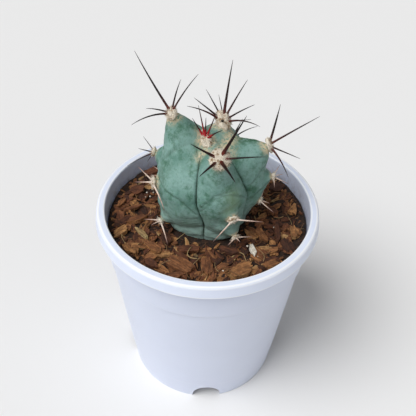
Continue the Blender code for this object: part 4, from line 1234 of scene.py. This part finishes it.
class CACTUS_OT_mix(bpy.types.Operator):
    """Fill the pot with potting mix and lay the chips, splinters, fibres and white grains on it"""

    bl_idname = "cactus.mix"
    bl_label = "Potting mix"

    def execute(self, context):
        settings = context.scene.cactus_mix
        self.lay_fines(settings)
        bark = pine_bark()
        mineral = expanded_mineral()
        draw = random.Random(5)
        chips = [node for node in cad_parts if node.startswith("bark_chip")]
        for node in sorted(chips) + ["white_chip"]:
            self.lay_chip(node, mineral if node == "white_chip" else bark, draw)
        self.lay_plates(settings, bark, draw)
        self.scatter_bark(settings, bark, draw)
        self.scatter_fibres(settings, draw)
        self.scatter_specks(settings, mineral, draw)
        return {"FINISHED"}

    def lay_fines(self, settings):
        """The root ball: walls and underside as the pot shapes them, and a crumbly top."""
        edge = MIX_HIGH.x - 0.1
        base = MIX_LOW.z
        sides = [(33.2, base), (35.8, base + 2.4), (43.2, 74.6), (43.9, 76.8), (edge, FINES_EDGE)]
        ways = [direction(k * 360 / FINES_COLUMNS, 0) for k in range(FINES_COLUMNS)]
        rows = [[(r, z)] * FINES_COLUMNS for r, z in sides]
        for ring in range(FINES_RINGS, FINES_INNER_RING, -1):
            reach = edge * ring / FINES_RINGS
            rows.append([(reach, mix_level(*(way * reach).xy)) for way in ways])
        points = [(0, 0, base)]
        for row in rows:
            points.extend(tuple(way * r + Vector((0, 0, z))) for way, (r, z) in zip(ways, row))
        points.append((0, 0, FINES_EDGE))
        faces = capped_faces(len(rows), FINES_COLUMNS)
        fines = mesh_piece("potting_fines", points, faces, bark_fines(settings))
        place(fines, "potting_mix", "potting_mix")

    def lay_chip(self, node, material, draw):
        """One chip in the place and size of its solid, with a slight random tilt."""
        middle, size, turn = long_axis(node)
        tilt = Matrix.Rotation(turn, 3, "Z") @ Matrix.Rotation(draw.uniform(-0.09, 0.09), 3, "X")
        heap = Heap()
        cut = MINERAL_CUT if node == "white_chip" else BARK_CUT
        tone = CHIP_TONES.get(node, draw.uniform(0.25, 0.7))
        middle.z += 0.4
        add_chip(heap, middle, tilt, size, tone, draw, **cut)
        obj = heap.piece(f"laid_{node}", material, smooth=False)
        break_shading(obj, BARK_EDGE_DEGREES)
        place(obj, "white_mineral" if node == "white_chip" else "bark", node)

    def scatter_bark(self, settings, material, draw):
        """Slivers and crumbs of bark over the whole top, the longer ones lower down."""
        heap = Heap()
        for _ in range(settings.small_chips):
            azimuth = draw.uniform(0, 360)
            length = min(9.5, 1.7 + draw.expovariate(0.42))
            sliver = draw.random() < 0.45
            width = length * (draw.uniform(0.10, 0.24) if sliver else draw.uniform(0.32, 0.75))
            flat = draw.uniform(0.35, 0.6) if sliver else draw.uniform(0.5, 1.2)
            inner = 17.0 + length * 0.3
            reach = math.sqrt(draw.uniform(inner ** 2, (44.4 - length * 0.42) ** 2))
            spot = direction(azimuth, 0) * reach
            spot.z = mix_level(spot.x, spot.y) + draw.uniform(-0.2, 1.6) * (1.0 - length / 16.0)
            turn = tumbled(draw, 0.33, 0.24)
            tone = min(1.0, max(0.0, draw.gauss(0.45, 0.2)))
            add_chip(heap, spot, turn, (length, width, flat), tone, draw, 2, draw.randint(6, 9), 0.14)
        place(heap.piece("small_bark", material, smooth=False), "bark")

    def lay_plates(self, settings, material, draw):
        """Plates that lie nearly flat and overlap, between the chips that have their own names."""
        heap = Heap()
        for _ in range(settings.plates):
            length = draw.uniform(4.5, 10.5)
            width = length * draw.uniform(0.22, 0.6)
            inner = 17.5 + length * 0.42
            reach = math.sqrt(draw.uniform(inner ** 2, (44.0 - length * 0.48) ** 2))
            spot = direction(draw.uniform(0, 360), 0) * reach
            spot.z = mix_level(spot.x, spot.y) + draw.uniform(0.0, 1.1)
            turn = tumbled(draw, 0.26, 0.14)
            tone = min(0.95, max(0.05, draw.gauss(0.40, 0.20)))
            add_chip(heap, spot, turn, (length, width, draw.uniform(0.8, 1.5)), tone, draw, 5, 26, 0.28)
        obj = heap.piece("bark_plates", material, smooth=False)
        break_shading(obj, BARK_EDGE_DEGREES)
        place(obj, "bark")

    def scatter_fibres(self, settings, draw):
        """Curling fibres that lie on the bark and stop short of the pot's wall."""
        heap = Heap()
        for _ in range(settings.fibres):
            reach = draw.uniform(19.0, 42.0)
            spot = direction(draw.uniform(0, 360), 0) * reach
            spot.z = mix_level(spot.x, spot.y) + draw.uniform(1.0, 2.6)
            heading, curl = draw.uniform(0, math.tau), draw.uniform(-0.35, 0.35)
            path, length = [spot], draw.uniform(0.6, 1.5)
            for _ in range(7):
                heading += curl + draw.gauss(0, 0.16)
                way = Vector((math.cos(heading), math.sin(heading), draw.gauss(-0.02, 0.12)))
                ahead = path[-1] + way * length
                if ahead.xy.length > 43.6:
                    break
                path.append(ahead)
            if len(path) < 4:
                continue
            thick = draw.choice((0.09, 0.11, 0.15, 0.26))
            radii = [thick * (1.0 - 0.6 * k / len(path)) for k in range(len(path))]
            tone = draw.uniform(0.1, 0.9)
            add_tube(heap, path, radii, 5, tone=[tone] * len(path))
        place(heap.piece("loose_fibres", dry_fibre()), "fibres")

    def scatter_specks(self, settings, material, draw):
        """Small white grains, half of them in a group on the left."""
        heap = Heap()
        for index in range(settings.specks):
            azimuth = draw.gauss(-112, 12) if index < settings.specks // 2 else draw.uniform(0, 360)
            spot = direction(azimuth, 0) * draw.uniform(25.0, 36.0)
            spot.z = mix_level(spot.x, spot.y) + draw.uniform(1.6, 2.6)
            size = draw.uniform(0.5, 1.1)
            turn = Matrix.Rotation(draw.uniform(0, math.tau), 3, "Z")
            add_chip(heap, spot, turn, (size, size * 0.8, size * 0.6), 0.5, draw, ridges=0.05)
        place(heap.piece("white_specks", material), "white_mineral")


# ---------------------------------------------------------------- stage
# The ways to the lamps: azimuth and elevation in degrees.
KEY_WAY, FILL_WAY = (-57, 56), (15, 22)
CAMERA_PLACE = (0.0, -0.2108, 0.2900)
CAMERA_DEGREES = (47.37, -1.55, 1.41)
CAMERA_LENS, CAMERA_SENSOR = 55.4, 36.0


class CACTUS_OT_stage(bpy.types.Operator):
    """Lay the pale floor, hang the soft lights and set the camera"""

    bl_idname = "cactus.stage"
    bl_label = "Stage"

    def execute(self, context):
        settings = context.scene.cactus_stage
        scene = context.scene
        half = settings.floor_size / MM / 2
        material = new_material("matt_studio_floor", Roughness=0.9, Specular_IOR_Level=0.1,
                                Base_Color=tuple(settings.floor_colour))[0]
        corners = [(-half, -half, 0), (half, -half, 0), (half, half, 0), (-half, half, 0)]
        floor = mesh_piece("studio_floor", corners, [(0, 1, 2, 3)], material, smooth=False)
        for name, energy, spread, way in (
                ("key", settings.key_strength, settings.key_spread, direction(*KEY_WAY)),
                ("fill", settings.fill_strength, settings.fill_spread, direction(*FILL_WAY))):
            light = bpy.data.lights.new(name, "SUN")
            light.energy = energy
            light.angle = spread
            lamp = bpy.data.objects.new(name, light)
            lamp.rotation_euler = way.to_track_quat("Z", "Y").to_euler()
            scene.collection.objects.link(lamp)
        world = bpy.data.worlds.new("even_sky")
        scene.world = world
        world.use_nodes = True
        tree = world.node_tree
        sky_way = add_node(tree, "ShaderNodeTexCoord").outputs["Generated"]
        height = add_node(tree, "ShaderNodeSeparateXYZ", {0: sky_way}).outputs["Z"]
        overhead = maths(tree, "POWER", maths(tree, "MAXIMUM", height, 0.0), 1.5)
        share = maths(tree, "MULTIPLY_ADD", overhead, 1.0 - settings.sky_floor)
        share.node.inputs[2].default_value = settings.sky_floor
        sky = tree.nodes["Background"]
        sky.inputs["Color"].default_value = WHITE
        tree.links.new(maths(tree, "MULTIPLY", share, settings.sky_strength), sky.inputs["Strength"])
        camera = bpy.data.cameras.new("camera")
        camera.lens = CAMERA_LENS
        camera.sensor_width = CAMERA_SENSOR
        viewer = bpy.data.objects.new("camera", camera)
        viewer.location = CAMERA_PLACE
        viewer.rotation_euler = [math.radians(angle) for angle in CAMERA_DEGREES]
        scene.collection.objects.link(viewer)
        scene.camera = viewer
        scene.view_settings.view_transform = "Standard"
        return {"FINISHED"}


# ---------------------------------------------------------------- panel and registration
GROUPS = {"cactus_pot": CactusPotSettings, "cactus_stem": CactusStemSettings,
          "cactus_spines": CactusSpineSettings, "cactus_mix": CactusMixSettings,
          "cactus_stage": CactusStageSettings}
OPERATORS = (CACTUS_OT_stage, CACTUS_OT_pot, CACTUS_OT_mix, CACTUS_OT_stem, CACTUS_OT_areoles)


class CACTUS_PT_pieces(bpy.types.Panel):
    """The pieces of the potted cactus and their settings"""

    bl_idname = "CACTUS_PT_pieces"
    bl_label = "Potted cactus"
    bl_space_type = "VIEW_3D"
    bl_region_type = "UI"
    bl_category = "Cactus"

    def draw(self, context):
        for name, group in GROUPS.items():
            box = self.layout.box()
            for field in group.__annotations__:
                box.prop(getattr(context.scene, name), field)
        for operator in OPERATORS:
            self.layout.operator(operator.bl_idname)


def register():
    for name, group in GROUPS.items():
        bpy.utils.register_class(group)
        setattr(bpy.types.Scene, name, PointerProperty(type=group))
    for made in (*OPERATORS, CACTUS_PT_pieces):
        bpy.utils.register_class(made)


def unregister():
    for made in (CACTUS_PT_pieces, *reversed(OPERATORS)):
        bpy.utils.unregister_class(made)
    for name, group in reversed(GROUPS.items()):
        delattr(bpy.types.Scene, name)
        bpy.utils.unregister_class(group)


def main():
    register()
    bpy.ops.cactus.stage()
    bpy.ops.cactus.pot()
    bpy.ops.cactus.mix()
    bpy.ops.cactus.stem()
    bpy.ops.cactus.areoles()


if __name__ == "__main__":
    main()
